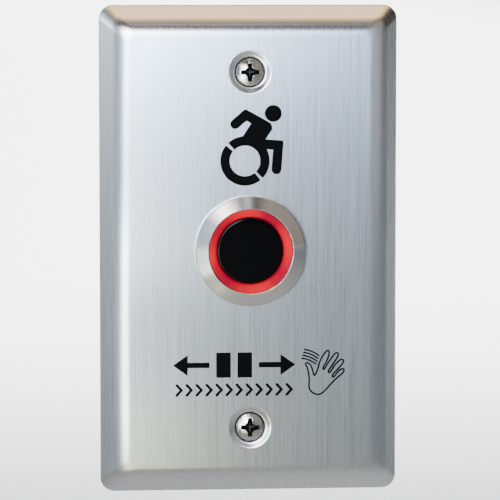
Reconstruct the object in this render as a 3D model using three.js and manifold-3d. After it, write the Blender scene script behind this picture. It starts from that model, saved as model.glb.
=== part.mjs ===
// Touchless wall switch for an automatic door.
//
// A pressed stainless steel single-gang wall plate carries a round infrared sensor head with a lit ring.
// Behind the plate, the sensor's lock nut clamps a moulded carrier that holds the control board, with its
// relay, screw terminals, adjusters and option switches.
//
// Millimetres. X runs to the right as seen from the front, Y runs into the wall and Z is up.
// The origin is the centre of the plate on the wall's surface, so the front face looks along -Y.

import * as THREE from "three";
import { mergeVertices } from "three/addons/utils/BufferGeometryUtils.js";
import Module from "manifold-3d";

const wasm = await Module();
wasm.setup();

const { degToRad } = THREE.MathUtils;

// ---------------------------------------------------------------- driving dimensions

const PLATE = {
  width: 69.85,
  height: 114.3,
  depth: 5.6,
  sheet: 0.9,
  cornerRadius: 3.3,
  cornerTaper: 0.2, // how fast the corner radius shrinks towards the flat face
  bendRadius: 5.8,
  bendAngle: degToRad(50),
  slopeRun: 2.5,
};
const FACE = -PLATE.depth; // the plate's front face
const PLATE_BACK = FACE + PLATE.sheet;

const SCREW_SPACING = 83.3; // between the two plate screws of a single-gang box
const COUNTERSINK = degToRad(41); // half of the 82 degree inch-screw cone
const DISH = { mouthRadius: 5.1, seatRadius: 3.6, depth: 0.6, holeRadius: 2 };
const PLATE_SCREW = {
  headRadius: 3.35,
  dome: 1,
  rim: 0.15,
  sink: 0.55, // from the plate's face back to the head's widest edge
  shankRadius: 1.75,
  length: 25.4,
  recess: { span: 4.2, width: 0.95, depth: 2.3 },
};
const GASKET = { halfWidth: 27.9, halfHeight: 50.1, band: { side: 4.3, end: 3 }, cornerRadius: 2 };

const BARREL = {
  flangeRadius: 12.92,
  edgeHeight: 1.15, // the flange's cylindrical edge
  threadRadius: 10.9,
  boreRadius: 9.2,
  recessRadius: 9.75,
  ledge: FACE + 0.5, // where the recess for the light ring ends
  rear: 8,
};
const CREST = FACE - 2.7; // the bezel's highest edge
const SEAL_GROOVE = { inner: 11.2, outer: 12.3, depth: 0.5 };
const LIGHT_RING = { outer: 9.65, shelf: FACE - 0.6, skirt: 8.55, back: -1.2 };
const WINDOW = { radius: 7.75, front: FACE - 0.4, thickness: 1.4, wall: 0.85, skirtBack: -2.4 };
const WINDOW_SEAL = { radius: 9.13, section: 0.5 };
const SENSOR_BOARD = { radius: 9, front: -0.4, thickness: 1.2 };
const DIODE = { x: 3.4, radius: 1.5, collar: 1.85, tall: 4 };
const RING_LEDS = { count: 4, radius: 8.1, phase: degToRad(-7.5), width: 1.6, tall: 0.8, thick: 0.65 };
const REAR_PLUG = { cableHole: 2.6, body: 9.1, lip: 10.6, inside: 8, thickness: 1.4 };
const GROMMET = { neck: 2.5, flange: 3.4, flangeThickness: 0.6 };
const CABLE = { radius: 1.6, turnRadius: 7.5, boardHole: 2.5 };
const WASHER = { radius: 14, thickness: 0.6, teeth: 14, rootRadius: 12.2 };
const NUT = { acrossFlats: 27, thickness: 4, faceRadius: 13.4, chamfer: 0.9 };
const THREAD_GAP = 0.15; // between a threaded part and what it turns in

const CARRIER = {
  width: 46,
  height: 66,
  wall: 1.4,
  floor: 1.8,
  cornerRadius: 2.5,
  back: 13,
  postRadius: 2.7,
};
const BOARD = { width: 42.8, height: 62.8, thickness: 1.6, screwHole: 1.35 };
const BOARD_BACK = CARRIER.back; // the component side of the control board
const BOARD_FRONT = BOARD_BACK - BOARD.thickness;
const BOARD_SCREW = {
  x: 18.5,
  z: 28.5,
  headRadius: 2.2,
  head: 1.6,
  shankRadius: 1.1,
  length: 6.5,
  recess: { span: 2.5, width: 0.6, depth: 1.2 },
};

const TERMINALS = { count: 5, pitch: 5.08, z: -27, depth: 8.6, tall: 10.2, bevel: 2.4 };
const TERMINAL_SCREW = { seat: 7.55, radius: 1.25, length: 3.9, headRadius: 1.9, head: 1.5, slot: 0.6 };
const CLAMP = {
  half: 1.8,
  halfDepth: 2.1,
  low: 1.3,
  high: 5.4,
  throat: 1.32, // half the width of the opening
  floor: 0.6,
  roof: 0.9,
  travel: 1.4,
};
const TRIMMER = {
  side: 6.7,
  tall: 4.9,
  rotorRadius: 2.2,
  rotorFoot: 3.5,
  rotorTop: 5.2,
  z: 20.5,
  x: { range: -15.5, delay: -6 },
};
const OPTION_SWITCH = { x: -12.5, z: 8.5, count: 3, pitch: 2.54, width: 6.2, tall: 3.4, slotDepth: 1.6 };
const SLIDER = { long: 1.6, wide: 1.3, tall: 2.1, rest: 1, slotHalf: 1.9 };
const RELAY = { x: 11.75, z: 12.5, width: 15.5, length: 19, tall: 15.5, wall: 0.8 };
const CONNECTOR = {
  z: -2 * CABLE.turnRadius,
  halfWidth: 6.2,
  halfDepth: 2.9,
  tall: 7,
  wall: 0.8,
  plugTop: 9.8,
};
const CONTROLLER = {
  x: -12.5,
  z: -3.5,
  half: [1.95, 4.35],
  top: 1.75,
  leads: 7,
  leadPitch: 1.27,
  leadReach: 3,
};
const CAPACITOR = { x: -15.5, z: -15, radius: 4, tall: 11.5 };
const RECTIFIER = { x: 13.5, z: -14.5, half: [4.15, 3.2], top: 3.6, footX: 2.55 };

const FINE = 40; // facets on a large round
const MEDIUM = 20;
const COARSE = 12;

// ---------------------------------------------------------------- geometry helpers

// A closed mesh as a manifold-3d solid.
function solid(geometry) {
  const bare = geometry.clone();
  bare.deleteAttribute("normal");
  bare.deleteAttribute("uv");
  const merged = mergeVertices(bare, 1e-4);
  return new wasm.Manifold(
    new wasm.Mesh({
      numProp: 3,
      vertProperties: merged.getAttribute("position").array,
      triVerts: new Uint32Array(merged.index.array),
    }),
  );
}

function geometryOf(manifold) {
  const mesh = manifold.getMesh();
  const geometry = new THREE.BufferGeometry();
  geometry.setAttribute("position", new THREE.BufferAttribute(mesh.vertProperties, 3));
  geometry.setIndex(new THREE.BufferAttribute(mesh.triVerts, 1));
  const flat = geometry.toNonIndexed();
  flat.computeVertexNormals();
  return flat;
}

const join = (first, ...others) =>
  geometryOf(others.reduce((whole, other) => whole.add(solid(other)), solid(first)));

const cut = (body, ...tools) =>
  geometryOf(tools.reduce((whole, tool) => whole.subtract(solid(tool)), solid(body)));

const common = (a, b) => geometryOf(solid(a).intersect(solid(b)));

// A profile of [radius, y] points turned about the Y axis. It closes on itself or on the axis.
function turned(profile, facets = MEDIUM) {
  const points = profile.map(([radius, y]) => new THREE.Vector2(radius, y));
  if (THREE.ShapeUtils.area(points) < 0) points.reverse();
  const first = points[0];
  const onAxis = first.x === 0 && points.at(-1).x === 0;
  if (!onAxis) points.push(first.clone());
  return new THREE.LatheGeometry(points, facets);
}

const cylinder = (radius, front, back, facets) =>
  turned([[0, front], [radius, front], [radius, back], [0, back]], facets);

const ring = (inner, outer, front, back, facets) =>
  turned([[inner, front], [outer, front], [outer, back], [inner, back]], facets);

// A box between two limits on each axis.
function block([x0, x1], [y0, y1], [z0, z1]) {
  const box = new THREE.BoxGeometry(x1 - x0, y1 - y0, z1 - z0);
  return box.translate((x0 + x1) / 2, (y0 + y1) / 2, (z0 + z1) / 2);
}

// A flat outline drawn in X and Z, extruded from y = front to y = back.
function slab(shape, front, back, curveSegments = 4) {
  const settings = { depth: back - front, bevelEnabled: false, curveSegments };
  return new THREE.ExtrudeGeometry(shape, settings).rotateX(Math.PI / 2).translate(0, back, 0);
}

// Points of a rectangle with round corners, counterclockwise as seen from the front.
function roundedOutline(halfWidth, halfHeight, radius, steps = 6) {
  const corners = [[1, 1], [-1, 1], [-1, -1], [1, -1]];
  return corners.flatMap(([sx, sz], quarter) =>
    Array.from({ length: steps + 1 }, (_, k) => {
      const angle = (quarter + k / steps) * (Math.PI / 2);
      return new THREE.Vector2(
        sx * (halfWidth - radius) + radius * Math.cos(angle),
        sz * (halfHeight - radius) + radius * Math.sin(angle),
      );
    }),
  );
}

const roundedSlab = (halfWidth, halfHeight, radius, front, back) =>
  slab(new THREE.Shape(roundedOutline(halfWidth, halfHeight, radius, 4)), front, back);

// A closed solid through rings of equal count, ordered from the wall towards the front.
function loft(rings) {
  const count = rings[0].length;
  const centres = [rings[0], rings.at(-1)].map((r) => new THREE.Vector3(0, r[0].y, 0));
  const points = [...rings.flat(), ...centres];
  const [backCentre, frontCentre] = [points.length - 2, points.length - 1];
  const frontRing = (rings.length - 1) * count;
  const index = [];
  for (let i = 0; i < count; i++) {
    const next = (i + 1) % count;
    for (let start = 0; start < frontRing; start += count) {
      const [a, b, c, d] = [start + i, start + next, start + count + i, start + count + next];
      index.push(a, b, c, b, d, c);
    }
    index.push(backCentre, next, i, frontCentre, frontRing + i, frontRing + next);
  }
  return new THREE.BufferGeometry().setFromPoints(points).setIndex(index);
}

const moved = (geometry, x, y, z) => geometry.clone().translate(x, y, z);

// ---------------------------------------------------------------- materials

const finish = (color, roughness, metalness, extra = {}) =>
  new THREE.MeshStandardMaterial({ color, roughness, metalness, ...extra });

const materials = {
  brushedSteel: finish(0xc4c8cb, 0.34, 1),
  turnedSteel: finish(0xb9b6b1, 0.26, 1),
  platedSteel: finish(0xa9a7a2, 0.3, 1),
  nickelBrass: finish(0xb5b0a2, 0.3, 1),
  tinnedMetal: finish(0xb8bcc0, 0.35, 1),
  foam: finish(0x1c1d1f, 0.95, 0),
  rubber: finish(0x161617, 0.8, 0),
  blackPlastic: finish(0x18191b, 0.5, 0),
  windowPlastic: finish(0x050506, 0.12, 0),
  litPlastic: finish(0xd8343a, 0.3, 0, { transparent: true, opacity: 0.85, emissive: 0x8f0d10 }),
  redLens: finish(0xd9d6cc, 0.3, 0),
  clearLens: finish(0x9fb6d8, 0.1, 0),
  darkLens: finish(0x141218, 0.15, 0),
  greenBoard: finish(0x0f5a35, 0.4, 0),
  greenTerminal: finish(0x1f7a46, 0.45, 0),
  relayBlue: finish(0x1f4f9c, 0.35, 0),
  whiteNylon: finish(0xe6e3d8, 0.5, 0),
  trimmerBlue: finish(0x2a63ad, 0.4, 0),
  switchRed: finish(0xb32024, 0.45, 0),
  copperWinding: finish(0xb5622e, 0.4, 1),
  chipEpoxy: finish(0x1a1a1c, 0.6, 0),
  capacitorSleeve: finish(0x1b2340, 0.35, 0),
  cableJacket: finish(0x2a2b2e, 0.55, 0),
};

// ---------------------------------------------------------------- the wall plate

// One skin of the pressed edge as [inset, y] pairs, from the rim on the wall to the flat face.
function edgeSkin(offset) {
  const { depth, bendRadius, bendAngle, slopeRun } = PLATE;
  const centre = { inset: slopeRun + bendRadius * Math.sin(bendAngle), y: bendRadius - depth };
  const radius = bendRadius - offset;
  const steps = 5;
  const bend = Array.from({ length: steps + 1 }, (_, k) => {
    const angle = bendAngle * (1 - k / steps);
    return [centre.inset - radius * Math.sin(angle), centre.y - radius * Math.cos(angle)];
  });
  const [inset, y] = bend[0];
  const lip = y + (inset - offset) * Math.tan(bendAngle);
  return [[offset, 0], [offset, lip], ...bend];
}

function platePress(offset) {
  const rings = edgeSkin(offset).map(([inset, y]) =>
    roundedOutline(
      PLATE.width / 2 - inset,
      PLATE.height / 2 - inset,
      PLATE.cornerRadius - PLATE.cornerTaper * inset,
    ).map((p) => new THREE.Vector3(p.x, y, p.y)),
  );
  const past = offset > 0 ? [rings[0].map((p) => p.clone().setY(1))] : [];
  return loft([...past, ...rings]);
}

function facePlate() {
  const seat = FACE + DISH.depth;
  const coneDepth = (DISH.seatRadius - DISH.holeRadius) / Math.tan(COUNTERSINK);
  const thick = PLATE.sheet;
  const boss = turned([
    [0, FACE + 0.1],
    [DISH.mouthRadius + 0.5, FACE + 0.1],
    [DISH.mouthRadius + 0.5, PLATE_BACK],
    [DISH.seatRadius + 0.7, seat + thick],
    [DISH.holeRadius + 0.9, seat + coneDepth + thick / 2],
    [0, seat + coneDepth + thick / 2],
  ]);
  const dish = turned([
    [0, FACE - 1],
    [DISH.mouthRadius, FACE - 1],
    [DISH.mouthRadius, FACE],
    [(DISH.mouthRadius + DISH.seatRadius) / 2, FACE + DISH.depth * 0.35],
    [DISH.seatRadius, seat],
    [DISH.holeRadius, seat + coneDepth],
    [DISH.holeRadius, 0],
    [0, 0],
  ]);
  const ends = [SCREW_SPACING / 2, -SCREW_SPACING / 2];
  const shell = cut(platePress(0), platePress(PLATE.sheet));
  const formed = join(shell, ...ends.map((z) => moved(boss, 0, 0, z)));
  const barrelHole = cylinder(BARREL.threadRadius + 0.25, FACE - 1, 0, FINE);
  return cut(formed, ...ends.map((z) => moved(dish, 0, 0, z)), barrelHole);
}

// A closed-cell foam frame in the hollow of the plate, flush with its rim.
function wallGasket() {
  const { halfWidth, halfHeight, band, cornerRadius } = GASKET;
  const inside = roundedOutline(halfWidth - band.side, halfHeight - band.end, cornerRadius, 4);
  const outer = new THREE.Shape(roundedOutline(halfWidth, halfHeight, cornerRadius, 4));
  outer.holes.push(new THREE.Path(inside.reverse()));
  return slab(outer, PLATE_BACK, 0);
}

// A cross recess: two tapered wings that meet at a right angle.
function crossRecess({ span, width, depth }, front) {
  const blade = new THREE.Shape([
    new THREE.Vector2(-span / 2, -1),
    new THREE.Vector2(span / 2, -1),
    new THREE.Vector2(span / 2, 0.2),
    new THREE.Vector2(span / 5, depth),
    new THREE.Vector2(-span / 5, depth),
    new THREE.Vector2(-span / 2, 0.2),
  ]);
  const across = new THREE.ExtrudeGeometry(blade, { depth: width, bevelEnabled: false });
  across.translate(0, 0, -width / 2);
  const upright = across.clone().rotateY(Math.PI / 2);
  return join(across, upright).translate(0, front, 0);
}

// An oval-head countersunk machine screw, its point into the wall.
function plateScrew() {
  const { headRadius, dome, rim, sink, shankRadius, length, recess } = PLATE_SCREW;
  const top = FACE + sink; // the head's widest edge
  const sphere = (headRadius ** 2 + dome ** 2) / (2 * dome);
  const cap = [0, 0.35, 0.6, 0.8, 0.93, 1].map((share) => {
    const radius = headRadius * share;
    return [radius, top - dome + sphere - Math.sqrt(sphere ** 2 - radius ** 2)];
  });
  const coneEnd = top + rim + (headRadius - shankRadius) / Math.tan(COUNTERSINK);
  const tip = top + length;
  const body = turned([
    ...cap,
    [headRadius, top + rim],
    [shankRadius, coneEnd],
    [shankRadius, tip - 0.6],
    [shankRadius - 0.5, tip],
    [0, tip],
  ]);
  return cut(body, crossRecess(recess, top - dome + 0.15));
}

// ---------------------------------------------------------------- the sensor head

// The bezel and threaded barrel, turned from one bar, with a groove for the flange seal.
function sensorBarrel() {
  const { flangeRadius, edgeHeight, threadRadius, boreRadius, recessRadius, ledge, rear } = BARREL;
  const chamfer = 0.4;
  return turned(
    [
      [recessRadius, CREST + 0.3],
      [recessRadius + 0.25, CREST],
      [flangeRadius - 0.2, FACE - edgeHeight - 0.2],
      [flangeRadius, FACE - edgeHeight],
      [flangeRadius, FACE],
      [SEAL_GROOVE.outer, FACE],
      [SEAL_GROOVE.outer, FACE - SEAL_GROOVE.depth],
      [SEAL_GROOVE.inner, FACE - SEAL_GROOVE.depth],
      [SEAL_GROOVE.inner, FACE],
      [threadRadius, FACE],
      [threadRadius, rear - chamfer],
      [threadRadius - chamfer, rear],
      [boreRadius, rear],
      [boreRadius, ledge],
      [recessRadius, ledge],
    ],
    FINE,
  );
}

function flangeSeal() {
  const { inner, outer, depth } = SEAL_GROOVE;
  return ring(inner + 0.1, outer - 0.1, FACE - depth + 0.1, FACE, FINE);
}

// The light guide: a sloping ring that faces forward and a skirt that reaches back to the diodes.
function lightRing() {
  const { outer, shelf, skirt, back } = LIGHT_RING;
  const inner = WINDOW.radius + 0.1;
  return turned(
    [
      [outer, CREST + 0.35],
      [inner, WINDOW.front - 0.05],
      [inner, back],
      [skirt, back],
      [skirt, shelf],
      [outer, shelf],
    ],
    FINE,
  );
}

function windowSeal() {
  const { radius, section } = WINDOW_SEAL;
  const y = LIGHT_RING.shelf + section + 0.05;
  const circle = Array.from({ length: 8 }, (_, k) => {
    const angle = (k * Math.PI) / 4;
    return [radius + section * Math.cos(angle), y + section * Math.sin(angle)];
  });
  return turned(circle, FINE);
}

function irWindow() {
  const { radius, front, thickness, wall, skirtBack } = WINDOW;
  return turned(
    [
      [0, front],
      [radius - 0.2, front],
      [radius, front + 0.2],
      [radius, skirtBack],
      [radius - wall, skirtBack],
      [radius - wall, front + thickness],
      [0, front + thickness],
    ],
    FINE,
  );
}

// The wall that keeps the emitter's light from reaching the receiver directly.
const opticalBaffle = () =>
  block([-0.5, 0.5], [WINDOW.front + WINDOW.thickness + 0.1, SENSOR_BOARD.front], [-6.2, 6.2]);

const sensorBoard = () =>
  cylinder(SENSOR_BOARD.radius, SENSOR_BOARD.front, SENSOR_BOARD.front + SENSOR_BOARD.thickness, FINE);

// A 3 mm round-nosed diode, standing on the sensor board.
function diode() {
  const { radius, collar, tall } = DIODE;
  const base = SENSOR_BOARD.front;
  return turned([
    [0, base - tall],
    [radius / 2, base - tall + 0.3],
    [radius - 0.2, base - tall + 0.9],
    [radius, base - tall + 1.6],
    [radius, base - 0.8],
    [collar, base - 0.8],
    [collar, base],
    [0, base],
  ], COARSE);
}

function ringLed() {
  const { width, tall, thick } = RING_LEDS;
  const { front } = SENSOR_BOARD;
  return block([-width / 2, width / 2], [front - thick, front], [-tall / 2, tall / 2]);
}

// The moulded plug that closes the barrel and holds the sensor board against the light ring.
function rearPlug() {
  const { cableHole, body, lip, inside, thickness } = REAR_PLUG;
  const { rear } = BARREL;
  const front = SENSOR_BOARD.front + SENSOR_BOARD.thickness + 0.05;
  return turned(
    [
      [cableHole, rear - thickness],
      [inside, rear - thickness],
      [inside, front],
      [body, front],
      [body, rear],
      [lip, rear],
      [lip, rear + thickness],
      [cableHole, rear + thickness],
    ],
    FINE,
  );
}

function cableGrommet() {
  const { neck, flange, flangeThickness } = GROMMET;
  const { rear } = BARREL;
  const hole = CABLE.radius + 0.1;
  const inside = REAR_PLUG.thickness + 0.1;
  const end = inside + flangeThickness;
  return turned([
    [hole, rear - end],
    [flange, rear - end],
    [flange, rear - inside],
    [neck, rear - inside],
    [neck, rear + inside],
    [flange, rear + inside],
    [flange - 0.3, rear + end],
    [hole, rear + end],
  ]);
}

// From the sensor board, out through the grommet and the control board, and over into the connector.
function sensorCable() {
  const start = SENSOR_BOARD.front + SENSOR_BOARD.thickness;
  const leave = BOARD_BACK + 4;
  const arrive = BOARD_BACK + CONNECTOR.plugTop + 0.8;
  const over = -2 * CABLE.turnRadius;
  const at = (y, z) => new THREE.Vector3(0, y, z);
  const path = new THREE.CurvePath();
  path.add(new THREE.LineCurve3(at(start, 0), at(leave, 0)));
  const bow = [at(leave, 0), at(leave + 11, 0), at(arrive + 7, over), at(arrive, over)];
  path.add(new THREE.CubicBezierCurve3(...bow));
  path.add(new THREE.LineCurve3(at(arrive, over), at(BOARD_BACK + CONNECTOR.plugTop, over)));
  const section = new THREE.Shape(
    Array.from({ length: 8 }, (_, k) => {
      const angle = (k * Math.PI) / 4;
      return new THREE.Vector2(CABLE.radius * Math.cos(angle), CABLE.radius * Math.sin(angle));
    }),
  );
  return new THREE.ExtrudeGeometry(section, { steps: 24, extrudePath: path, bevelEnabled: false });
}

// An internal-tooth washer.
function lockWasher() {
  const { radius, thickness, teeth, rootRadius } = WASHER;
  const inner = Array.from({ length: teeth * 4 }, (_, k) => {
    const reach = k % 4 < 2 ? BARREL.threadRadius + THREAD_GAP : rootRadius;
    const angle = (k * Math.PI) / (teeth * 2);
    return new THREE.Vector2(reach * Math.cos(angle), reach * Math.sin(angle));
  });
  const outline = new THREE.Shape().absarc(0, 0, radius, 0, 2 * Math.PI);
  outline.holes.push(new THREE.Path(inner.reverse()));
  const front = PLATE_BACK + CARRIER.floor;
  return slab(outline, front, front + thickness, FINE / 2);
}

function lockNut() {
  const { acrossFlats, thickness, faceRadius, chamfer } = NUT;
  const corner = acrossFlats / Math.sqrt(3);
  const front = PLATE_BACK + CARRIER.floor + WASHER.thickness;
  const back = front + thickness;
  const hex = new THREE.Shape(
    Array.from({ length: 6 }, (_, k) => {
      const angle = (k * Math.PI) / 3;
      return new THREE.Vector2(corner * Math.cos(angle), corner * Math.sin(angle));
    }),
  );
  const corners = turned(
    [
      [0, front],
      [faceRadius, front],
      [corner + 0.1, front + chamfer],
      [corner + 0.1, back - chamfer],
      [faceRadius, back],
      [0, back],
    ],
    FINE,
  );
  const bore = cylinder(BARREL.threadRadius + THREAD_GAP, front - 1, back + 1, FINE);
  return cut(common(slab(hex, front, back), corners), bore);
}

// ---------------------------------------------------------------- the carrier and the control board

const fourCorners = [[1, 1], [-1, 1], [-1, -1], [1, -1]];

function boardCarrier() {
  const { width, height, wall, floor, cornerRadius, back, postRadius } = CARRIER;
  const [halfX, halfZ] = [width / 2, height / 2];
  const tray = roundedSlab(halfX, halfZ, cornerRadius, PLATE_BACK, back);
  const hollow = roundedSlab(halfX - wall, halfZ - wall, cornerRadius - wall, PLATE_BACK + floor, back + 1);
  const atCorners = (piece) =>
    fourCorners.map(([sx, sz]) => moved(piece, sx * BOARD_SCREW.x, 0, sz * BOARD_SCREW.z));
  const posts = atCorners(cylinder(postRadius, PLATE_BACK + 1, BOARD_FRONT, COARSE));
  const pilots = atCorners(cylinder(BOARD_SCREW.shankRadius + THREAD_GAP, 3, back, COARSE));
  const barrelHole = cylinder(BARREL.threadRadius + 0.25, PLATE_BACK - 1, 2, FINE);
  return cut(join(cut(tray, hollow), ...posts), ...pilots, barrelHole);
}

function controlBoard() {
  const holes = fourCorners.map(([sx, sz]) => [sx * BOARD_SCREW.x, sz * BOARD_SCREW.z, BOARD.screwHole]);
  const outline = new THREE.Shape(roundedOutline(BOARD.width / 2, BOARD.height / 2, 1, 3));
  for (const [x, z, radius] of [...holes, [0, 0, CABLE.boardHole]]) {
    outline.holes.push(new THREE.Path().absarc(x, z, radius, 0, 2 * Math.PI, true));
  }
  return slab(outline, BOARD_FRONT, BOARD_BACK, COARSE / 2);
}

function boardScrew() {
  const { headRadius, head, shankRadius, length, recess } = BOARD_SCREW;
  const top = BOARD_BACK + head;
  const body = turned([
    [0, BOARD_BACK - length],
    [0.3, BOARD_BACK - length],
    [shankRadius, BOARD_BACK - length + 1.2],
    [shankRadius, BOARD_BACK],
    [headRadius, BOARD_BACK],
    [headRadius, top - 0.6],
    [headRadius * 0.7, top - 0.1],
    [0, top],
  ], COARSE);
  return cut(body, crossRecess(recess, 0).rotateX(Math.PI).translate(0, top - 0.05, 0));
}

// ---------------------------------------------------------------- the connector

function sensorHeader() {
  const { z, halfWidth, halfDepth, tall, wall } = CONNECTOR;
  const top = BOARD_BACK + tall;
  const shroud = block([-halfWidth, halfWidth], [BOARD_BACK, top], [z - halfDepth, z + halfDepth]);
  const cavity = block(
    [-halfWidth + wall, halfWidth - wall],
    [BOARD_BACK + 1.5, top + 1],
    [z - halfDepth + wall, z + halfDepth - wall],
  );
  const slots = [-3.4, 3.4].map((x) =>
    block([x - 0.8, x + 0.8], [BOARD_BACK + 3, top + 1], [z + halfDepth - wall - 0.5, z + halfDepth + 1]),
  );
  return cut(shroud, cavity, ...slots);
}

function sensorPlug() {
  const { z, halfWidth, halfDepth, wall } = CONNECTOR;
  const gap = wall + 0.2;
  return block(
    [-halfWidth + gap, halfWidth - gap],
    [BOARD_BACK + 1.7, BOARD_BACK + CONNECTOR.plugTop],
    [z - halfDepth + gap, z + halfDepth - gap],
  );
}

// ---------------------------------------------------------------- the screw terminals

const terminalX = (i) => (i - (TERMINALS.count - 1) / 2) * TERMINALS.pitch;

// The housing: each way has a cage chamber, a wire mouth below it and a screw well from the back.
function terminalBlock() {
  const { count, pitch, z, depth, tall, bevel } = TERMINALS;
  const { seat, radius, headRadius } = TERMINAL_SCREW;
  const top = BOARD_BACK + tall;
  const half = (count * pitch) / 2 + 0.2;
  const housing = block([-half, half], [BOARD_BACK, top], [z - depth / 2, z + depth / 2]);
  const roof = BOARD_BACK + CLAMP.high + CLAMP.travel + 0.1;
  const side = CLAMP.half + 0.15;
  const ways = Array.from({ length: count }, (_, i) => {
    const x = terminalX(i);
    const chamber = block([x - side, x + side], [BOARD_BACK + 1.2, roof], [z - 2.6, z + 2.4]);
    const mouth = block([x - 1.75, x + 1.75], [BOARD_BACK + 2, BOARD_BACK + 6], [z - depth, z - 2]);
    const well = moved(cylinder(headRadius + 0.2, BOARD_BACK + seat - 0.05, top + 1, COARSE), x, 0, z);
    const neck = moved(cylinder(radius + THREAD_GAP, roof - 1, BOARD_BACK + seat + 0.5, COARSE), x, 0, z);
    return [chamber, mouth, well, neck];
  });
  const corner = z + depth / 2;
  const wedge = new THREE.Shape([
    new THREE.Vector2(corner + 1, top + 1),
    new THREE.Vector2(corner + 1, top - bevel),
    new THREE.Vector2(corner + 1 - bevel, top + 1),
  ]);
  const along = new THREE.ExtrudeGeometry(wedge, { depth: 2 * half + 2, bevelEnabled: false });
  const basis = new THREE.Matrix4().makeBasis(
    new THREE.Vector3(0, 0, 1),
    new THREE.Vector3(0, 1, 0),
    new THREE.Vector3(-1, 0, 0),
  );
  return cut(housing, ...ways.flat(), along.applyMatrix4(basis).translate(half + 1, 0, 0));
}

function terminalScrew() {
  const { radius, length, headRadius, head, slot } = TERMINAL_SCREW;
  const seat = BOARD_BACK + TERMINAL_SCREW.seat;
  const top = seat + head;
  const body = turned([
    [0, seat - length],
    [radius, seat - length],
    [radius, seat],
    [headRadius, seat],
    [headRadius, top - 0.2],
    [headRadius - 0.2, top],
    [0, top],
  ], COARSE);
  const reach = headRadius + 0.1;
  return cut(body, block([-reach, reach], [top - 0.8, top + 1], [-slot / 2, slot / 2]));
}

// The square cage that rises on the screw and squeezes the wire.
function terminalClamp() {
  const { half, halfDepth, low, high, throat, floor, roof } = CLAMP;
  const cage = block([-half, half], [BOARD_BACK + low, BOARD_BACK + high], [-halfDepth, halfDepth]);
  const opening = [BOARD_BACK + low + floor, BOARD_BACK + high - roof];
  const window = block([-throat, throat], opening, [-halfDepth - 1, halfDepth + 1]);
  const hole = cylinder(TERMINAL_SCREW.radius + 0.1, opening[1] - 0.5, BOARD_BACK + high + 1, COARSE);
  return cut(cage, window, hole);
}

// ---------------------------------------------------------------- the adjusters and option switches

function trimmerBody() {
  const { side, tall, rotorRadius, rotorFoot } = TRIMMER;
  const half = side / 2;
  const well = cylinder(rotorRadius + 0.15, BOARD_BACK + rotorFoot - 0.1, BOARD_BACK + tall + 1, MEDIUM);
  return cut(block([-half, half], [BOARD_BACK, BOARD_BACK + tall], [-half, half]), well);
}

// The rotor, with an arrow-shaped driver slot.
function trimmerRotor() {
  const top = BOARD_BACK + TRIMMER.rotorTop;
  const disc = cylinder(TRIMMER.rotorRadius, BOARD_BACK + TRIMMER.rotorFoot, top, MEDIUM);
  const arrow = new THREE.Shape([
    new THREE.Vector2(-0.3, -1.6),
    new THREE.Vector2(0.3, -1.6),
    new THREE.Vector2(0.3, 0.5),
    new THREE.Vector2(0.85, 0.5),
    new THREE.Vector2(0, 1.7),
    new THREE.Vector2(-0.85, 0.5),
    new THREE.Vector2(-0.3, 0.5),
  ]);
  return cut(disc, slab(arrow, top - 0.7, top + 1));
}

const sliderZ = (i) => OPTION_SWITCH.z + (i - (OPTION_SWITCH.count - 1) / 2) * OPTION_SWITCH.pitch;

function optionSwitchBody() {
  const { x, z, count, pitch, width, tall, slotDepth } = OPTION_SWITCH;
  const half = (count * pitch + 2.2) / 2;
  const top = BOARD_BACK + tall;
  const body = block([x - width / 2, x + width / 2], [BOARD_BACK, top], [z - half, z + half]);
  const side = SLIDER.wide / 2 + 0.15;
  const { slotHalf } = SLIDER;
  const slots = Array.from({ length: count }, (_, i) =>
    block([x - slotHalf, x + slotHalf], [top - slotDepth, top + 1], [sliderZ(i) - side, sliderZ(i) + side]),
  );
  return cut(body, ...slots);
}

function optionSlider() {
  const foot = BOARD_BACK + OPTION_SWITCH.tall - OPTION_SWITCH.slotDepth + 0.1;
  const { long, wide, tall } = SLIDER;
  return block([-long / 2, long / 2], [foot, foot + tall], [-wide / 2, wide / 2]);
}

// ---------------------------------------------------------------- the relay, about its own centre

const RELAY_FLOOR = BOARD_BACK + 2.2; // the top of the relay's base
const POLE = RELAY_FLOOR + 8.6; // the core's free end
const HINGE = { y: RELAY_FLOOR + 9.1, z: -7.8 }; // the armature's edge on the yoke
const CORE = { radius: 1.9, z: -2.6 };
const COIL = { inner: 2.1, winding: 4.1, flange: 4.5, flangeThickness: 0.7 };
const IRON = { half: 4.5, low: -8.3 };
const CONTACT = { radius: 0.9, z: 6.5, blade: 0.2, strip: 0.4, back: 8.4, postX: 3.5 };

function relayCase() {
  const { width, length, tall, wall } = RELAY;
  const outside = roundedSlab(width / 2, length / 2, 0.8, BOARD_BACK + 0.2, BOARD_BACK + tall);
  const inside = block(
    [-width / 2 + wall, width / 2 - wall],
    [BOARD_BACK - 1, BOARD_BACK + tall - wall],
    [-length / 2 + wall, length / 2 - wall],
  );
  return cut(outside, inside);
}

function relayBase() {
  const gap = RELAY.wall + 0.1;
  const [halfX, halfZ] = [RELAY.width / 2 - gap, RELAY.length / 2 - gap];
  return block([-halfX, halfX], [BOARD_BACK, RELAY_FLOOR], [-halfZ, halfZ]);
}

// The soft-iron frame with the core that the coil sits on.
function relayYoke() {
  const { half, low } = IRON;
  const foot = block([-half, half], [RELAY_FLOOR + 0.1, RELAY_FLOOR + 0.9], [low, 1]);
  const upright = block([-half, half], [RELAY_FLOOR + 0.1, HINGE.y - 0.1], [low, low + 1]);
  const core = moved(cylinder(CORE.radius, RELAY_FLOOR + 0.5, POLE, COARSE), 0, 0, CORE.z);
  return join(foot, upright, core);
}

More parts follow.
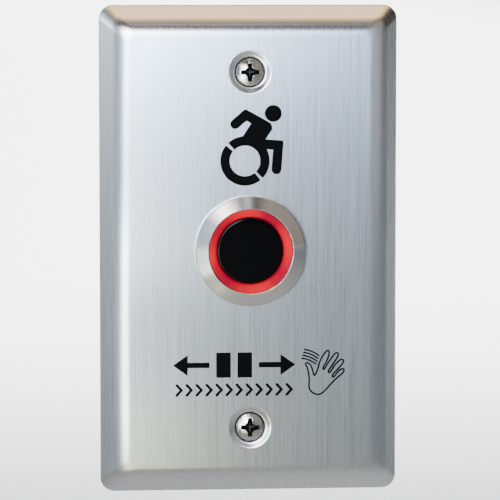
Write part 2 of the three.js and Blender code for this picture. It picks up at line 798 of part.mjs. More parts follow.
// The wound bobbin: two flanges with the winding between them.
function relayCoil() {
  const { inner, winding, flange, flangeThickness } = COIL;
  const [low, high] = [RELAY_FLOOR + 1, POLE - 0.3];
  const body = turned([
    [inner, low],
    [flange, low],
    [flange, low + flangeThickness],
    [winding, low + flangeThickness],
    [winding, high - flangeThickness],
    [flange, high - flangeThickness],
    [flange, high],
    [inner, high],
  ]);
  return moved(body, 0, 0, CORE.z);
}

const relayArmature = () =>
  block([-IRON.half, IRON.half], [HINGE.y + 0.15, HINGE.y + 1.05], [IRON.low, 0.9]);

// The spring blade on the armature, with the contact that swings between the two fixed ones.
function relayMovingContact() {
  const { radius, z, blade } = CONTACT;
  const foot = HINGE.y + 1.05;
  const strip = block([-1.6, 1.6], [foot, foot + blade], [-6.5, 7.5]);
  const button = moved(cylinder(radius, foot - 0.45, foot + 0.7, COARSE), 0, 0, z);
  return join(strip, button);
}

// A fixed contact: a post on the base, an arm over to the middle and a button that faces the blade.
function fixedContact(side, armY, buttonFront, buttonBack) {
  const { radius, z, strip, back, postX } = CONTACT;
  const across = side > 0 ? [-1, postX + 1] : [-postX - 1, 1];
  const x = postX * side;
  const post = block([x - 1, x + 1], [RELAY_FLOOR, armY + strip], [back - strip, back]);
  const arm = block(across, [armY, armY + strip], [z - radius, back]);
  const button = moved(cylinder(radius, buttonFront, buttonBack, COARSE), 0, 0, z);
  return join(post, arm, button);
}

const relayOpenContact = () => fixedContact(1, HINGE.y - 1.35, HINGE.y - 1.1, HINGE.y - 0.6);
const relayClosedContact = () => fixedContact(-1, HINGE.y + 2.15, HINGE.y + 1.8, HINGE.y + 2.3);

// ---------------------------------------------------------------- other parts on the control board

// A small-outline package with its leads joined to it.
function microcontroller() {
  const { half, top, leads, leadPitch, leadReach } = CONTROLLER;
  const [halfX, halfZ] = half;
  const body = block([-halfX, halfX], [BOARD_BACK + 0.15, BOARD_BACK + top], [-halfZ, halfZ]);
  const rows = Array.from({ length: leads }, (_, i) => {
    const z = (i - (leads - 1) / 2) * leadPitch;
    return block([-leadReach, leadReach], [BOARD_BACK, BOARD_BACK + 0.35], [z - 0.2, z + 0.2]);
  });
  return join(body, ...rows);
}

// A radial capacitor whose sleeve is rolled in above the rubber bung.
function filterCapacitor() {
  const { radius, tall } = CAPACITOR;
  const groove = radius - 0.3;
  return turned([
    [0, BOARD_BACK],
    [groove, BOARD_BACK],
    [radius, BOARD_BACK + 0.4],
    [radius, BOARD_BACK + 1.4],
    [groove, BOARD_BACK + 1.8],
    [radius, BOARD_BACK + 2.2],
    [radius, BOARD_BACK + tall - 0.4],
    [radius - 0.4, BOARD_BACK + tall],
    [0, BOARD_BACK + tall],
  ]);
}

function bridgeRectifier() {
  const { half, top, footX } = RECTIFIER;
  const [halfX, halfZ] = half;
  const body = block([-halfX, halfX], [BOARD_BACK + 0.4, BOARD_BACK + top], [-halfZ, halfZ]);
  const feet = fourCorners.map(([sx, sz]) => {
    const z = sz > 0 ? [halfZ - 1.2, halfZ + 0.8] : [-halfZ - 0.8, -halfZ + 1.2];
    return block([sx * footX - 0.5, sx * footX + 0.5], [BOARD_BACK, BOARD_BACK + 1.6], z);
  });
  return join(body, ...feet);
}

// ---------------------------------------------------------------- assembly

const root = new THREE.Group();

function place(name, geometry, material, [x, y, z] = [0, 0, 0], group = root) {
  const mesh = new THREE.Mesh(geometry, material);
  mesh.name = name;
  mesh.position.set(x, y, z);
  group.add(mesh);
  return mesh;
}

place("face_plate", facePlate(), materials.brushedSteel);
place("wall_gasket", wallGasket(), materials.foam);
place("plate_screw_top", plateScrew(), materials.platedSteel, [0, 0, SCREW_SPACING / 2]);
place("plate_screw_bottom", plateScrew(), materials.platedSteel, [0, 0, -SCREW_SPACING / 2]);

place("sensor_barrel", sensorBarrel(), materials.turnedSteel);
place("flange_seal", flangeSeal(), materials.rubber);
place("light_ring", lightRing(), materials.litPlastic);
place("window_seal", windowSeal(), materials.rubber);
place("ir_window", irWindow(), materials.windowPlastic);
place("optical_baffle", opticalBaffle(), materials.foam);
place("sensor_board", sensorBoard(), materials.greenBoard);
place("ir_emitter", diode(), materials.clearLens, [-DIODE.x, 0, 0]);
place("ir_receiver", diode(), materials.darkLens, [DIODE.x, 0, 0]);
for (let i = 0; i < RING_LEDS.count; i++) {
  const angle = RING_LEDS.phase + (i * 2 * Math.PI) / RING_LEDS.count;
  const led = place(`ring_led_${i + 1}`, ringLed(), materials.redLens);
  led.position.set(RING_LEDS.radius * Math.sin(angle), 0, RING_LEDS.radius * Math.cos(angle));
  led.rotation.y = angle;
}
place("barrel_rear_plug", rearPlug(), materials.blackPlastic);
place("cable_grommet", cableGrommet(), materials.rubber);
place("sensor_cable", sensorCable(), materials.cableJacket);
place("lock_washer", lockWasher(), materials.platedSteel);
place("lock_nut", lockNut(), materials.nickelBrass);

place("board_carrier", boardCarrier(), materials.blackPlastic);
place("control_board", controlBoard(), materials.greenBoard);
fourCorners.forEach(([sx, sz], i) => {
  const spot = [sx * BOARD_SCREW.x, 0, sz * BOARD_SCREW.z];
  place(`board_screw_${i + 1}`, boardScrew(), materials.platedSteel, spot);
});
place("sensor_header", sensorHeader(), materials.whiteNylon);
place("sensor_plug", sensorPlug(), materials.whiteNylon);

place("terminal_block", terminalBlock(), materials.greenTerminal);
for (let i = 0; i < TERMINALS.count; i++) {
  const spot = [terminalX(i), 0, TERMINALS.z];
  place(`terminal_screw_${i + 1}`, terminalScrew(), materials.platedSteel, spot);
  place(`terminal_clamp_${i + 1}`, terminalClamp(), materials.tinnedMetal, spot);
}

for (const [name, x] of Object.entries(TRIMMER.x)) {
  place(`${name}_trimmer_body`, trimmerBody(), materials.trimmerBlue, [x, 0, TRIMMER.z]);
  place(`${name}_trimmer_rotor`, trimmerRotor(), materials.whiteNylon, [x, 0, TRIMMER.z]);
}
place("option_switch_body", optionSwitchBody(), materials.switchRed);
for (let i = 0; i < OPTION_SWITCH.count; i++) {
  const spot = [OPTION_SWITCH.x - SLIDER.rest, 0, sliderZ(i)];
  place(`option_slider_${i + 1}`, optionSlider(), materials.whiteNylon, spot);
}

const relay = new THREE.Group();
relay.position.set(RELAY.x, 0, RELAY.z);
root.add(relay);
place("relay_case", relayCase(), materials.relayBlue, undefined, relay);
place("relay_base", relayBase(), materials.blackPlastic, undefined, relay);
place("relay_yoke", relayYoke(), materials.platedSteel, undefined, relay);
place("relay_coil", relayCoil(), materials.copperWinding, undefined, relay);
place("relay_armature", relayArmature(), materials.platedSteel, undefined, relay);
place("relay_moving_contact", relayMovingContact(), materials.tinnedMetal, undefined, relay);
place("relay_open_contact", relayOpenContact(), materials.tinnedMetal, undefined, relay);
place("relay_closed_contact", relayClosedContact(), materials.tinnedMetal, undefined, relay);

place("microcontroller", microcontroller(), materials.chipEpoxy, [CONTROLLER.x, 0, CONTROLLER.z]);
place("filter_capacitor", filterCapacitor(), materials.capacitorSleeve, [CAPACITOR.x, 0, CAPACITOR.z]);
place("bridge_rectifier", bridgeRectifier(), materials.chipEpoxy, [RECTIFIER.x, 0, RECTIFIER.z]);

export default root;
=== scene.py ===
from math import atan2, cos, pi, radians, sin, sqrt, tan

import bmesh
import bpy
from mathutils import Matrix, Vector
from mathutils.geometry import tessellate_polygon


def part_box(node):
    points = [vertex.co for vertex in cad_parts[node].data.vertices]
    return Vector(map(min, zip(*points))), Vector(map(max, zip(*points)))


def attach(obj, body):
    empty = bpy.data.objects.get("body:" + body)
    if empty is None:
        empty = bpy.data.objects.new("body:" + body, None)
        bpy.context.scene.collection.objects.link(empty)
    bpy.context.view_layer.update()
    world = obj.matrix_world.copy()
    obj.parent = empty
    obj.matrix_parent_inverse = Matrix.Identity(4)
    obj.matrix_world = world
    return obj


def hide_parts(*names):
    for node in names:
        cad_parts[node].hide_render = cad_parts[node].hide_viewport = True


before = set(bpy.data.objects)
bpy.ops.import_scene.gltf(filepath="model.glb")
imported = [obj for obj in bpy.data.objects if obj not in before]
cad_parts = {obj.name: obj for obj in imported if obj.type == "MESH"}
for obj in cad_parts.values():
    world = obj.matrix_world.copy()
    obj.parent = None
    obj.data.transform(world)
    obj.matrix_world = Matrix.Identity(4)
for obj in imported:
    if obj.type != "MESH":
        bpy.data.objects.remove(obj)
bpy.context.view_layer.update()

MM = 0.001
TURN = 2 * pi

# ---- where things are, in mm


def corners(node):
    """A node's lowest and highest corner."""
    low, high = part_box(node)
    return low / MM, high / MM


def limits(node):
    """A node's lowest corner, highest corner and middle."""
    low, high = corners(node)
    return low, high, (low + high) / 2


def middle(node):
    return limits(node)[2]


PLATE_LOW, PLATE_HIGH = corners("face_plate")
HALF_WIDTH, HALF_HEIGHT = PLATE_HIGH.x, PLATE_HIGH.z
FACE = PLATE_LOW.y
SHEET = 0.9
PLATE_BACK = FACE + SHEET
BARREL_LOW, BARREL_HIGH = corners("sensor_barrel")
CREST = BARREL_LOW.y
BOARD_BACK = corners("control_board")[1].y
SCREW_Z = middle("plate_screw_top").z
SCREW_HEAD, SCREW_DOME = 3.35, 1.0
SCREW_SPHERE = (SCREW_HEAD ** 2 + SCREW_DOME ** 2) / (2 * SCREW_DOME)

# ---- mesh helpers


def added(name, data):
    thing = bpy.data.objects.new(name, data)
    bpy.context.scene.collection.objects.link(thing)
    return thing


def new_piece(name, vertices, faces, smooth_angle=35.0):
    """A mesh object from points in mm."""
    mesh = bpy.data.meshes.new(name)
    mesh.from_pydata([Vector(v) * MM for v in vertices], [], faces)
    return settle(added(name, mesh), smooth_angle)


def settle(piece, smooth_angle=35.0):
    """Welds the mesh, drops stale normals, turns its faces outwards and marks sharp edges."""
    stale = piece.data.attributes.get("custom_normal")
    if stale:
        piece.data.attributes.remove(stale)
    bm = bmesh.new()
    bm.from_mesh(piece.data)
    bmesh.ops.remove_doubles(bm, verts=bm.verts, dist=2e-7)
    bmesh.ops.dissolve_degenerate(bm, edges=bm.edges, dist=1e-8)
    bmesh.ops.recalc_face_normals(bm, faces=bm.faces)
    bm.to_mesh(piece.data)
    bm.free()
    piece.data.shade_smooth()
    piece.data.set_sharp_from_angle(angle=radians(smooth_angle))
    return piece


def apply_modifiers(piece):
    bpy.context.view_layer.update()
    evaluated = piece.evaluated_get(bpy.context.evaluated_depsgraph_get())
    mesh = bpy.data.meshes.new_from_object(evaluated)
    piece.modifiers.clear()
    piece.data = mesh


def bevelled(piece, width, segments=2, angle=35.0):
    """Rounds the piece's edges. width is in mm."""
    bevel = piece.modifiers.new("edge", "BEVEL")
    bevel.width = width * MM
    bevel.segments = segments
    bevel.limit_method = "ANGLE"
    bevel.angle_limit = radians(angle)
    bevel.use_clamp_overlap = True
    apply_modifiers(piece)
    return settle(piece, angle)


def carved(piece, *tools, operation="DIFFERENCE"):
    """Cuts the tools from the piece, or joins them to it, and deletes them."""
    for tool in tools:
        boolean = piece.modifiers.new("cut", "BOOLEAN")
        boolean.operation = operation
        boolean.solver = "EXACT"
        boolean.object = tool
        apply_modifiers(piece)
        bpy.data.objects.remove(tool)
    return settle(piece)


def walls(a, b):
    """The faces between two rings of vertex numbers. A ring may be a single point."""
    faces, count = [], max(len(a), len(b))
    for k in range(count):
        n = (k + 1) % count
        face = dict.fromkeys((a[k % len(a)], a[n % len(a)], b[n % len(b)], b[k % len(b)]))
        if len(face) > 2:
            faces.append(tuple(face))
    return faces


def add_band(vertices, faces, rings, loop=False):
    """Adds rings of points with faces between them. Returns each ring's vertex numbers."""
    numbers = []
    for ring in rings:
        numbers.append(range(len(vertices), len(vertices) + len(ring)))
        vertices.extend(ring)
    for a, b in zip(numbers, numbers[1:] + numbers[:1] * loop):
        faces.extend(walls(a, b))
    return numbers


def skin(name, rings, cap=None, loop=False, smooth_angle=35.0):
    """A mesh over rings of points. cap is a flat outline that closes both ends."""
    vertices, faces = [], []
    numbers = add_band(vertices, faces, rings, loop)
    if cap:
        flat = tessellate_polygon([[Vector((*p, 0)) for p in cap]])
        faces += [tuple(t) for t in flat] + [tuple(numbers[-1][i] for i in reversed(t)) for t in flat]
    return new_piece(name, vertices, faces, smooth_angle)


def turned(name, profile, centre=Vector(), facets=96, smooth_angle=35.0):
    """A profile of (radius, y) points turned about an axis along Y through centre."""
    angles = [TURN * k / facets for k in range(facets)]
    rings = []
    for radius, y in profile:
        ring = [(centre.x + radius * cos(a), y, centre.z + radius * sin(a)) for a in angles]
        rings.append(ring if radius > 0 else ring[:1])
    return skin(name, rings, loop=profile[0][0] > 0, smooth_angle=smooth_angle)


def cylinder(name, radius, front, back, centre, facets):
    return turned(name, [(0, front), (radius, front), (radius, back), (0, back)], centre, facets)


def lifted(outline, y):
    """An outline of (x, z) points as points at y."""
    return [(x, y, z) for x, z in outline]


def moved(outline, centre):
    return [(centre.x + x, centre.z + z) for x, z in outline]


def prism(name, outline, front, back):
    """A solid of one outline between y = front and y = back."""
    return skin(name, [lifted(outline, front), lifted(outline, back)], outline)


def ring_prism(name, outer, inner, front, back):
    """A flat frame between two outlines with the same count of points."""
    edges = ((outer, front), (outer, back), (inner, back), (inner, front))
    return skin(name, [lifted(*edge) for edge in edges], loop=True)


def box_piece(name, x, y, z, edge=0, segments=2):
    """A box between limits in mm, with its edges rounded where edge is given."""
    vertices = [(a, b, c) for a in x for b in y for c in z]
    faces = [(0, 1, 3, 2), (4, 6, 7, 5), (0, 4, 5, 1), (2, 3, 7, 6), (0, 2, 6, 4), (1, 5, 7, 3)]
    piece = new_piece(name, vertices, faces)
    return bevelled(piece, edge, segments) if edge else piece


def filleted(profile, radius, steps=4):
    """The profile with rounded corners. radius is in mm, one for all or one for each."""
    count = len(profile)
    sizes = [radius] * count if isinstance(radius, (int, float)) else radius
    result = []
    for i, size in enumerate(sizes):
        p = Vector(profile[i])
        if size == 0:
            result.append(tuple(p))
            continue
        before, after = Vector(profile[i - 1]) - p, Vector(profile[(i + 1) % count]) - p
        reach = min(size, before.length * 0.45, after.length * 0.45)
        a, b = p + before.normalized() * reach, p + after.normalized() * reach
        for k in range(steps + 1):
            t = k / steps
            result.append(tuple(a * (1 - t) ** 2 + p * (2 * t * (1 - t)) + b * t * t))
    return result


def thread(radius, root, start, end, pitch):
    """The teeth of a screw thread as (radius, y) points, from start towards end."""
    points, y = [], start
    while y < end:
        points += [(radius, y), (root, y + pitch * 0.42), (root, y + pitch * 0.5), (radius, y + pitch * 0.92)]
        y += pitch
    return points


def refined(node, edge, segments=2, name=None):
    """A piece that follows a CAD node's own shape, with its edges rounded."""
    piece = added(name or node + "_fine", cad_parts[node].data.copy())
    piece.data.materials.clear()
    bm = bmesh.new()
    bm.from_mesh(piece.data)
    bmesh.ops.remove_doubles(bm, verts=bm.verts, dist=1e-6)
    bmesh.ops.dissolve_limit(bm, angle_limit=radians(1), verts=bm.verts, edges=bm.edges)
    bm.to_mesh(piece.data)
    bm.free()
    settle(piece)
    return bevelled(piece, edge, segments) if edge else piece


def merged(name, pieces):
    """One piece made of several separate shells."""
    bm = bmesh.new()
    for piece in pieces:
        bm.from_mesh(piece.data)
        bpy.data.objects.remove(piece)
    mesh = bpy.data.meshes.new(name)
    bm.to_mesh(mesh)
    bm.free()
    return settle(added(name, mesh))


def finish_piece(piece, finish, slot, *nodes, body="root"):
    """Gives a piece even normals, its finish, its body and the CAD nodes it stands for."""
    piece.modifiers.new("even", "WEIGHTED_NORMAL").keep_sharp = True
    apply_modifiers(piece)
    piece.data.materials.clear()
    piece.data.materials.append(finish.material)
    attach(piece, body)
    if nodes:
        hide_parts(*nodes)


# ---- materials


class Shader:
    """A node tree, and short ways to add to it."""

    def __init__(self, tree):
        self.tree = tree

    def node(self, kind, inputs=None, **settings):
        """A new node. Each input is a socket to link or a value to set."""
        node = self.tree.nodes.new("ShaderNode" + kind)
        for key, value in settings.items():
            setattr(node, key, value)
        for key, value in (inputs or {}).items():
            if isinstance(value, bpy.types.NodeSocket):
                self.tree.links.new(value, node.inputs[key])
            else:
                node.inputs[key].default_value = value
        return node

    def math(self, operation, *values):
        return self.node("Math", dict(enumerate(values)), operation=operation).outputs[0]

    def times(self, a, b):
        return self.math("MULTIPLY", a, b)

    def plus(self, a, b):
        return self.math("ADD", a, b)

    def length(self, a, b):
        return self.math("SQRT", self.plus(self.times(a, a), self.times(b, b)))


class Finish(Shader):
    """A Principled material, and the nodes that feed it."""

    def __init__(self, name, color, roughness, metallic=0.0, **sockets):
        self.material = bpy.data.materials.new(name)
        self.material.use_nodes = True
        super().__init__(self.material.node_tree)
        self.inputs = self.tree.nodes["Principled BSDF"].inputs
        values = {"Base Color": (*color, 1), "Roughness": roughness, "Metallic": metallic, **sockets}
        for socket, value in values.items():
            self.inputs[socket.replace("_", " ")].default_value = value

    def place(self, scale=1):
        """Points on the object in metres, scaled by a number, or by one for each axis."""
        size = (scale,) * 3 if isinstance(scale, (int, float)) else scale
        where = self.node("TexCoord").outputs["Object"]
        return self.node("Mapping", {"Vector": where, "Scale": size}).outputs[0]

    def axes(self):
        return self.node("SeparateXYZ", {0: self.place()}).outputs

    def noise(self, where, detail=3.0, roughness=0.55):
        """Noise over a socket's points, or at a scale that place takes."""
        if not isinstance(where, bpy.types.NodeSocket):
            where = self.place(where)
        inputs = {"Vector": where, "Scale": 1.0, "Detail": detail, "Roughness": roughness}
        return self.node("TexNoise", inputs).outputs["Fac"]

    def wave(self, scale, way, distortion, detail=2.0):
        inputs = {"Vector": self.place(), "Scale": scale, "Distortion": distortion, "Detail": detail}
        return self.node("TexWave", inputs, bands_direction=way).outputs["Fac"]

    def ramp(self, value, low, high, start=0.3, end=0.7):
        """Maps value from start..end to low..high, which are two numbers or two colours."""
        if isinstance(low, (int, float)):
            return self.node("MapRange", {0: value, 1: start, 2: end, 3: low, 4: high}).outputs[0]
        ramp = self.node("ValToRGB", {0: value})
        for stop, position, color in zip(ramp.color_ramp.elements, (start, end), (low, high)):
            stop.position = position
            stop.color = (*color, 1)
        return ramp.outputs[0]

    def blend(self, factor, a, b):
        """A mix of the colour socket a and the colour b."""
        return self.node("Mix", {0: factor, 6: a, 7: (*b, 1)}, data_type="RGBA").outputs[2]

    def feed(self, socket, value, *span):
        """Links value to a socket of the material, through a ramp where a span is given."""
        self.tree.links.new(self.ramp(value, *span) if span else value, self.inputs[socket])

    def color(self, value, *span):
        self.feed("Base Color", value, *span)

    def gloss(self, value, *span):
        self.feed("Roughness", value, *span)

    def bump(self, height, strength, distance=0.00002):
        inputs = {"Height": height, "Strength": strength, "Distance": distance}
        self.feed("Normal", self.node("Bump", inputs).outputs[0])


def brushed_plate():
    """Stainless sheet, brushed along Z, whose highlights spread across."""
    m = Finish("brushed_stainless", (0.66, 0.68, 0.70), 0.28, 1.0, Anisotropic=0.64)
    scratch, streak = m.noise((9000, 9000, 90), 4.0, 0.65), m.noise((2600, 2600, 26))
    shade = m.plus(m.times(scratch, 0.6), m.times(streak, 0.4))
    cloud = m.ramp(m.noise((40, 40, 18), 2.0), 0.0, 0.25, 0.0, 1.0)
    tone = m.ramp(shade, (0.63, 0.65, 0.67), (0.72, 0.735, 0.75))
    m.color(m.blend(cloud, tone, (0.68, 0.69, 0.70)))
    m.gloss(shade, 0.24, 0.32)
    m.bump(shade, 0.07, 0.00001)
    m.feed("Tangent", m.node("CombineXYZ", {0: 1.0}).outputs[0])
    return m


def turned_steel():
    """Lathe-turned metal about the Y axis through the origin, with fine tool rings."""
    m = Finish("turned_stainless", (0.66, 0.65, 0.63), 0.2, 1.0, Anisotropic=0.75, Anisotropic_Rotation=0.25)
    x, y, z = m.axes()
    along = m.node("CombineXYZ", {0: m.length(x, z), 1: y}).outputs[0]
    rings = m.noise(m.node("Mapping", {"Vector": along, "Scale": (14000, 9000, 1)}).outputs[0], 2.0, 0.6)
    m.gloss(rings, 0.16, 0.27)
    m.bump(rings, 0.12, 0.000006)
    m.feed("Tangent", m.node("Tangent", direction_type="RADIAL", axis="Y").outputs[0])
    return m


def plated_screw():
    """Plated steel, with painted shade in the plate screws' cross recess and in a ring round their heads."""
    m = Finish("screw_steel", (0.58, 0.57, 0.54), 0.2, 1.0)
    skin_depth, recess_size, rim_inner, rim_outer = (size * MM for size in (0.09, 2.4, 3.22, 3.6))
    front, sphere = corners("plate_screw_top")[0].y * MM, SCREW_SPHERE * MM
    x, y, z = m.axes()
    out = m.length(x, m.math("SUBTRACT", m.math("ABSOLUTE", z), SCREW_Z * MM))
    to_centre = m.length(out, m.math("SUBTRACT", y, front + sphere))
    below = m.math("LESS_THAN", to_centre, sphere - skin_depth)
    in_head = m.math("LESS_THAN", y, front + recess_size)
    recess = m.times(m.times(below, in_head), m.math("LESS_THAN", out, recess_size))
    rim = m.times(m.math("GREATER_THAN", out, rim_inner), m.math("LESS_THAN", out, rim_outer))
    # Painted shade: the cross recess and a ring round each head's edge are made near black and rougher.
    painted_shade = m.math("MAXIMUM", recess, rim)
    grain = m.noise(1400, 4.0)
    plating = m.ramp(grain, (0.5, 0.49, 0.46), (0.62, 0.61, 0.58))
    m.gloss(m.plus(m.ramp(grain, 0.15, 0.3), m.times(painted_shade, 0.25)))
    # Painted shade: the colour goes near black inside the mask.
    m.color(m.blend(painted_shade, plating, (0.035, 0.034, 0.033)))
    m.bump(m.noise(9000, 2.0), 0.08, 0.00001)
    return m


def lit_ring():
    """Red light guide: bright over its four diodes, dimmer between them, and with painted shade that dims its
    glow towards the window.
    """
    m = Finish("lit_red_ring", (0.25, 0.003, 0.005), 0.36, IOR=1.45, Specular_IOR_Level=0.1)
    diodes, phase = 4.0, -radians(7.5)
    x, _, z = m.axes()
    angle = m.math("SUBTRACT", m.math("ARCTAN2", x, z), phase)
    wave = m.math("COSINE", m.times(angle, diodes))
    level = m.plus(m.times(wave, 0.35), m.times(m.noise(220, 2.0), 0.9))
    m.feed("Emission Color", level, (0.38, 0.002, 0.03), (0.95, 0.003, 0.018), 0.1, 0.8)
    # Painted shade: the glow fades towards the inner edge, by the window.
    m.feed("Emission Strength", m.length(x, z), 0.3, 1.0, 0.0078, 0.0085)
    # Painted light: the base colour is lighter where the diodes glow brighter.
    m.color(level, (0.12, 0.001, 0.006), (0.2, 0.002, 0.008), 0.1, 0.8)
    return m


def gloss_window():
    m = Finish("infrared_window", (0.002, 0.002, 0.0022), 0.08, Specular_IOR_Level=0.08)
    m.gloss(m.noise(3000, 4.0), 0.05, 0.13, 0.45, 0.75)
    return m


def plastic(name, color, roughness, grain, bump, lift=1.25, **sockets):
    """Moulded plastic: a fine spark texture, with faint flow marks."""
    m = Finish(name, color, roughness, **sockets)
    spark = m.noise(grain)
    lighter = [min(1.0, c * lift + 0.004) for c in color]
    m.color(m.noise(110), color, lighter, 0.35, 0.75)
    m.gloss(spark, roughness - 0.06, roughness + 0.1)
    m.bump(spark, bump)
    return m


def ink():
    m = Finish("black_ink", (0.003,) * 3, 0.6, Specular_IOR_Level=0.02)
    grain = m.noise(6000, 2.0)
    m.gloss(grain, 0.45, 0.65)
    m.color(grain, (0.001,) * 3, (0.003,) * 3)
    return m


def closed_foam():
    m = Finish("closed_cell_foam", (0.03, 0.03, 0.034), 0.9)
    cells = m.node("TexVoronoi", {"Vector": m.place(), "Scale": 1700.0}).outputs["Distance"]
    # Painted shade: darker at the middle of each cell, where the bump sinks a pit.
    m.color(cells, (0.016, 0.016, 0.018), (0.05, 0.05, 0.055), 0.05, 0.6)
    m.bump(cells, 0.7, 0.00012)
    return m


def machined(name, color, roughness, grain, wear=(1.0, 1.0, 1.0)):
    """Metal with fine tool marks along Y, and a slow change of tone."""
    m = Finish(name, color, roughness, 1.0)
    marks = m.noise((grain * 0.25, grain, grain * 0.25))
    darker = [c * 0.78 * w for c, w in zip(color, wear)]
    m.color(m.noise(260), darker, color, 0.3, 0.62)
    m.gloss(marks, roughness - 0.06, roughness + 0.12)
    m.bump(marks, 0.22)
    return m


def solder_mask(name, low, high):
    """Green lacquer over woven glass, whose threads show faintly along X and Z."""
    m = Finish(name, high, 0.3, Coat_Weight=0.4, Coat_Roughness=0.12)
    weave = m.times(m.wave(480.0, "X", 1.2, 1.0), m.wave(480.0, "Z", 1.2, 1.0))
    m.color(weave, low, high, 0.0, 0.9)
    m.bump(weave, 0.12, 0.00003)
    return m


def enamelled_winding():
    m = Finish("enamelled_copper", (0.5, 0.17, 0.06), 0.3, 1.0, Coat_Weight=0.5, Coat_Roughness=0.15)
    turns = m.wave(1600.0, "Y", 0.3)
    # Painted shade: darker in the grooves between the turns and lighter on their crowns, following the bump.
    m.color(turns, (0.22, 0.06, 0.02), (0.6, 0.24, 0.09), 0.0, 1.0)
    m.bump(turns, 0.9, 0.00006)
    return m


def cast_lens(name, color, transmission):
    m = Finish(name, color, 0.12, IOR=1.52, Transmission_Weight=transmission)
    flow = m.noise(420, 2.0)
    m.gloss(flow, 0.05, 0.18)
    m.color(flow, [c * 0.85 for c in color], color)
    return m


def banded_sleeve():
    """A dark blue shrunk sleeve, with the pale stripe that marks its negative side."""
    m = Finish("shrunk_sleeve", (0.02, 0.03, 0.1), 0.28, Coat_Weight=0.3, Coat_Roughness=0.15)
    axis, stripe_angle, stripe_half = middle("filter_capacitor") * MM, 2.2, 0.35
    x, _, z = m.axes()
    angle = m.math("ARCTAN2", m.math("SUBTRACT", x, axis.x), m.math("SUBTRACT", z, axis.z))
    stripe = m.math("COMPARE", m.math("ABSOLUTE", angle), stripe_angle, stripe_half)
    shrink = m.noise((900, 160, 900))
    dark = m.ramp(shrink, (0.008, 0.012, 0.05), (0.02, 0.03, 0.1))
    m.color(m.blend(stripe, dark, (0.42, 0.44, 0.5)))
    m.bump(shrink, 0.2, 0.00003)
    return m


def drawn_jacket():
    """Extruded vinyl, with faint lines along the cable and a scuffed surface."""
    m = Finish("drawn_jacket", (0.03, 0.03, 0.033), 0.42)
    scuff = m.noise(380, 4.0)
    m.color(scuff, (0.022, 0.022, 0.024), (0.05, 0.05, 0.054), 0.35, 0.75)
    m.gloss(scuff, 0.34, 0.55)
    m.bump(m.noise((5200, 260, 260)), 0.25)
    return m


# ---- the wall plate


def rounded_outline(half_x, half_z, radius, steps=14):
    points = []
    for quarter, (sx, sz) in enumerate([(1, 1), (-1, 1), (-1, -1), (1, -1)]):
        for k in range(steps + 1):
            angle = (quarter + k / steps) * TURN / 4
            x = sx * (half_x - radius) + radius * cos(angle)
            z = sz * (half_z - radius) + radius * sin(angle)
            points.append((x, z))
    return points


BEND_RADIUS = 5.8
BEND_ANGLE = radians(50)
SLOPE_RUN = 2.5
CORNER_RADIUS = 3.3
CORNER_TAPER = 0.2


def edge_skin(offset, steps=16):
    """One skin of the pressed edge as (inset, y), from the rim to the flat face."""
    centre = (SLOPE_RUN + BEND_RADIUS * sin(BEND_ANGLE), FACE + BEND_RADIUS)
    radius = BEND_RADIUS - offset
    angles = [BEND_ANGLE * (1 - k / steps) for k in range(steps + 1)]
    bend = [(centre[0] - radius * sin(a), centre[1] - radius * cos(a)) for a in angles]
    lip = bend[0][1] + (bend[0][0] - offset) * tan(BEND_ANGLE)
    return [(offset, 0.0), (offset, lip)] + bend


def plate_edge_profile():
    """Both skins joined by the rim, whose corners are eased."""
    ease = 0.12
    back, front = edge_skin(SHEET), edge_skin(0)
    rim = [(SHEET, -ease), (SHEET - ease, 0.0), (ease, 0.0), (0.0, -ease)]
    lip = front[1][1]
    soft = [(0.0, lip + 0.25), (0.06, lip - 0.02), (0.25, lip - 0.28)]
    return back[:0:-1] + rim + soft + front[2:]


DISH_RIM = 5.1
DISH_SEAT = 3.6
DISH_DEPTH = 0.6
HOLE_RADIUS = 2.0
BARREL_HOLE = 11.15
COUNTERSINK = tan(radians(41))


def dish_profile(steps=12):
    """From the face down the dish and the countersink, and back behind the sheet."""
    fall = []
    for k in range(steps + 1):
        t = k / steps
        fall.append((DISH_RIM + (DISH_SEAT - DISH_RIM) * t, FACE + DISH_DEPTH * (3 * t * t - 2 * t ** 3)))
    seat = FACE + DISH_DEPTH
    end = seat + (DISH_SEAT - HOLE_RADIUS) / COUNTERSINK
    through = [(HOLE_RADIUS, end), (HOLE_RADIUS + 0.05, end + 0.4), (HOLE_RADIUS + 0.9, end + 0.45)]
    return fall + through + [(DISH_SEAT + 0.7, seat + SHEET), (DISH_RIM + 0.5, PLATE_BACK)]


def face_plate():
    vertices, faces, edge = [], [], []
    for inset, y in plate_edge_profile():
        radius = CORNER_RADIUS - CORNER_TAPER * inset
        edge.append(lifted(rounded_outline(HALF_WIDTH - inset, HALF_HEIGHT - inset, radius), y))
    edge = add_band(vertices, faces, edge)

    def bore(profile, centre_z, facets):
        angles = [TURN * k / facets for k in range(facets)]
        rings = [[(r * cos(a), y, centre_z + r * sin(a)) for a in angles] for r, y in profile]
        return add_band(vertices, faces, rings)

    bores = [bore(dish_profile(), z, 72) for z in (SCREW_Z, -SCREW_Z)]
    bores.append(bore([(BARREL_HOLE, FACE), (BARREL_HOLE, PLATE_BACK)], 0, 96))
    for outer, end in ((edge[-1], 0), (edge[0], -1)):
        loops = [outer] + [rings[end] for rings in bores]
        flat = [[Vector((vertices[i][0], vertices[i][2], 0)) for i in loop] for loop in loops]
        order = [i for loop in loops for i in loop]
        faces.extend(tuple(order[i] for i in t) for t in tessellate_polygon(flat))
    return new_piece("face_plate_skin", vertices, faces, 60.0)


# ---- the plate screws


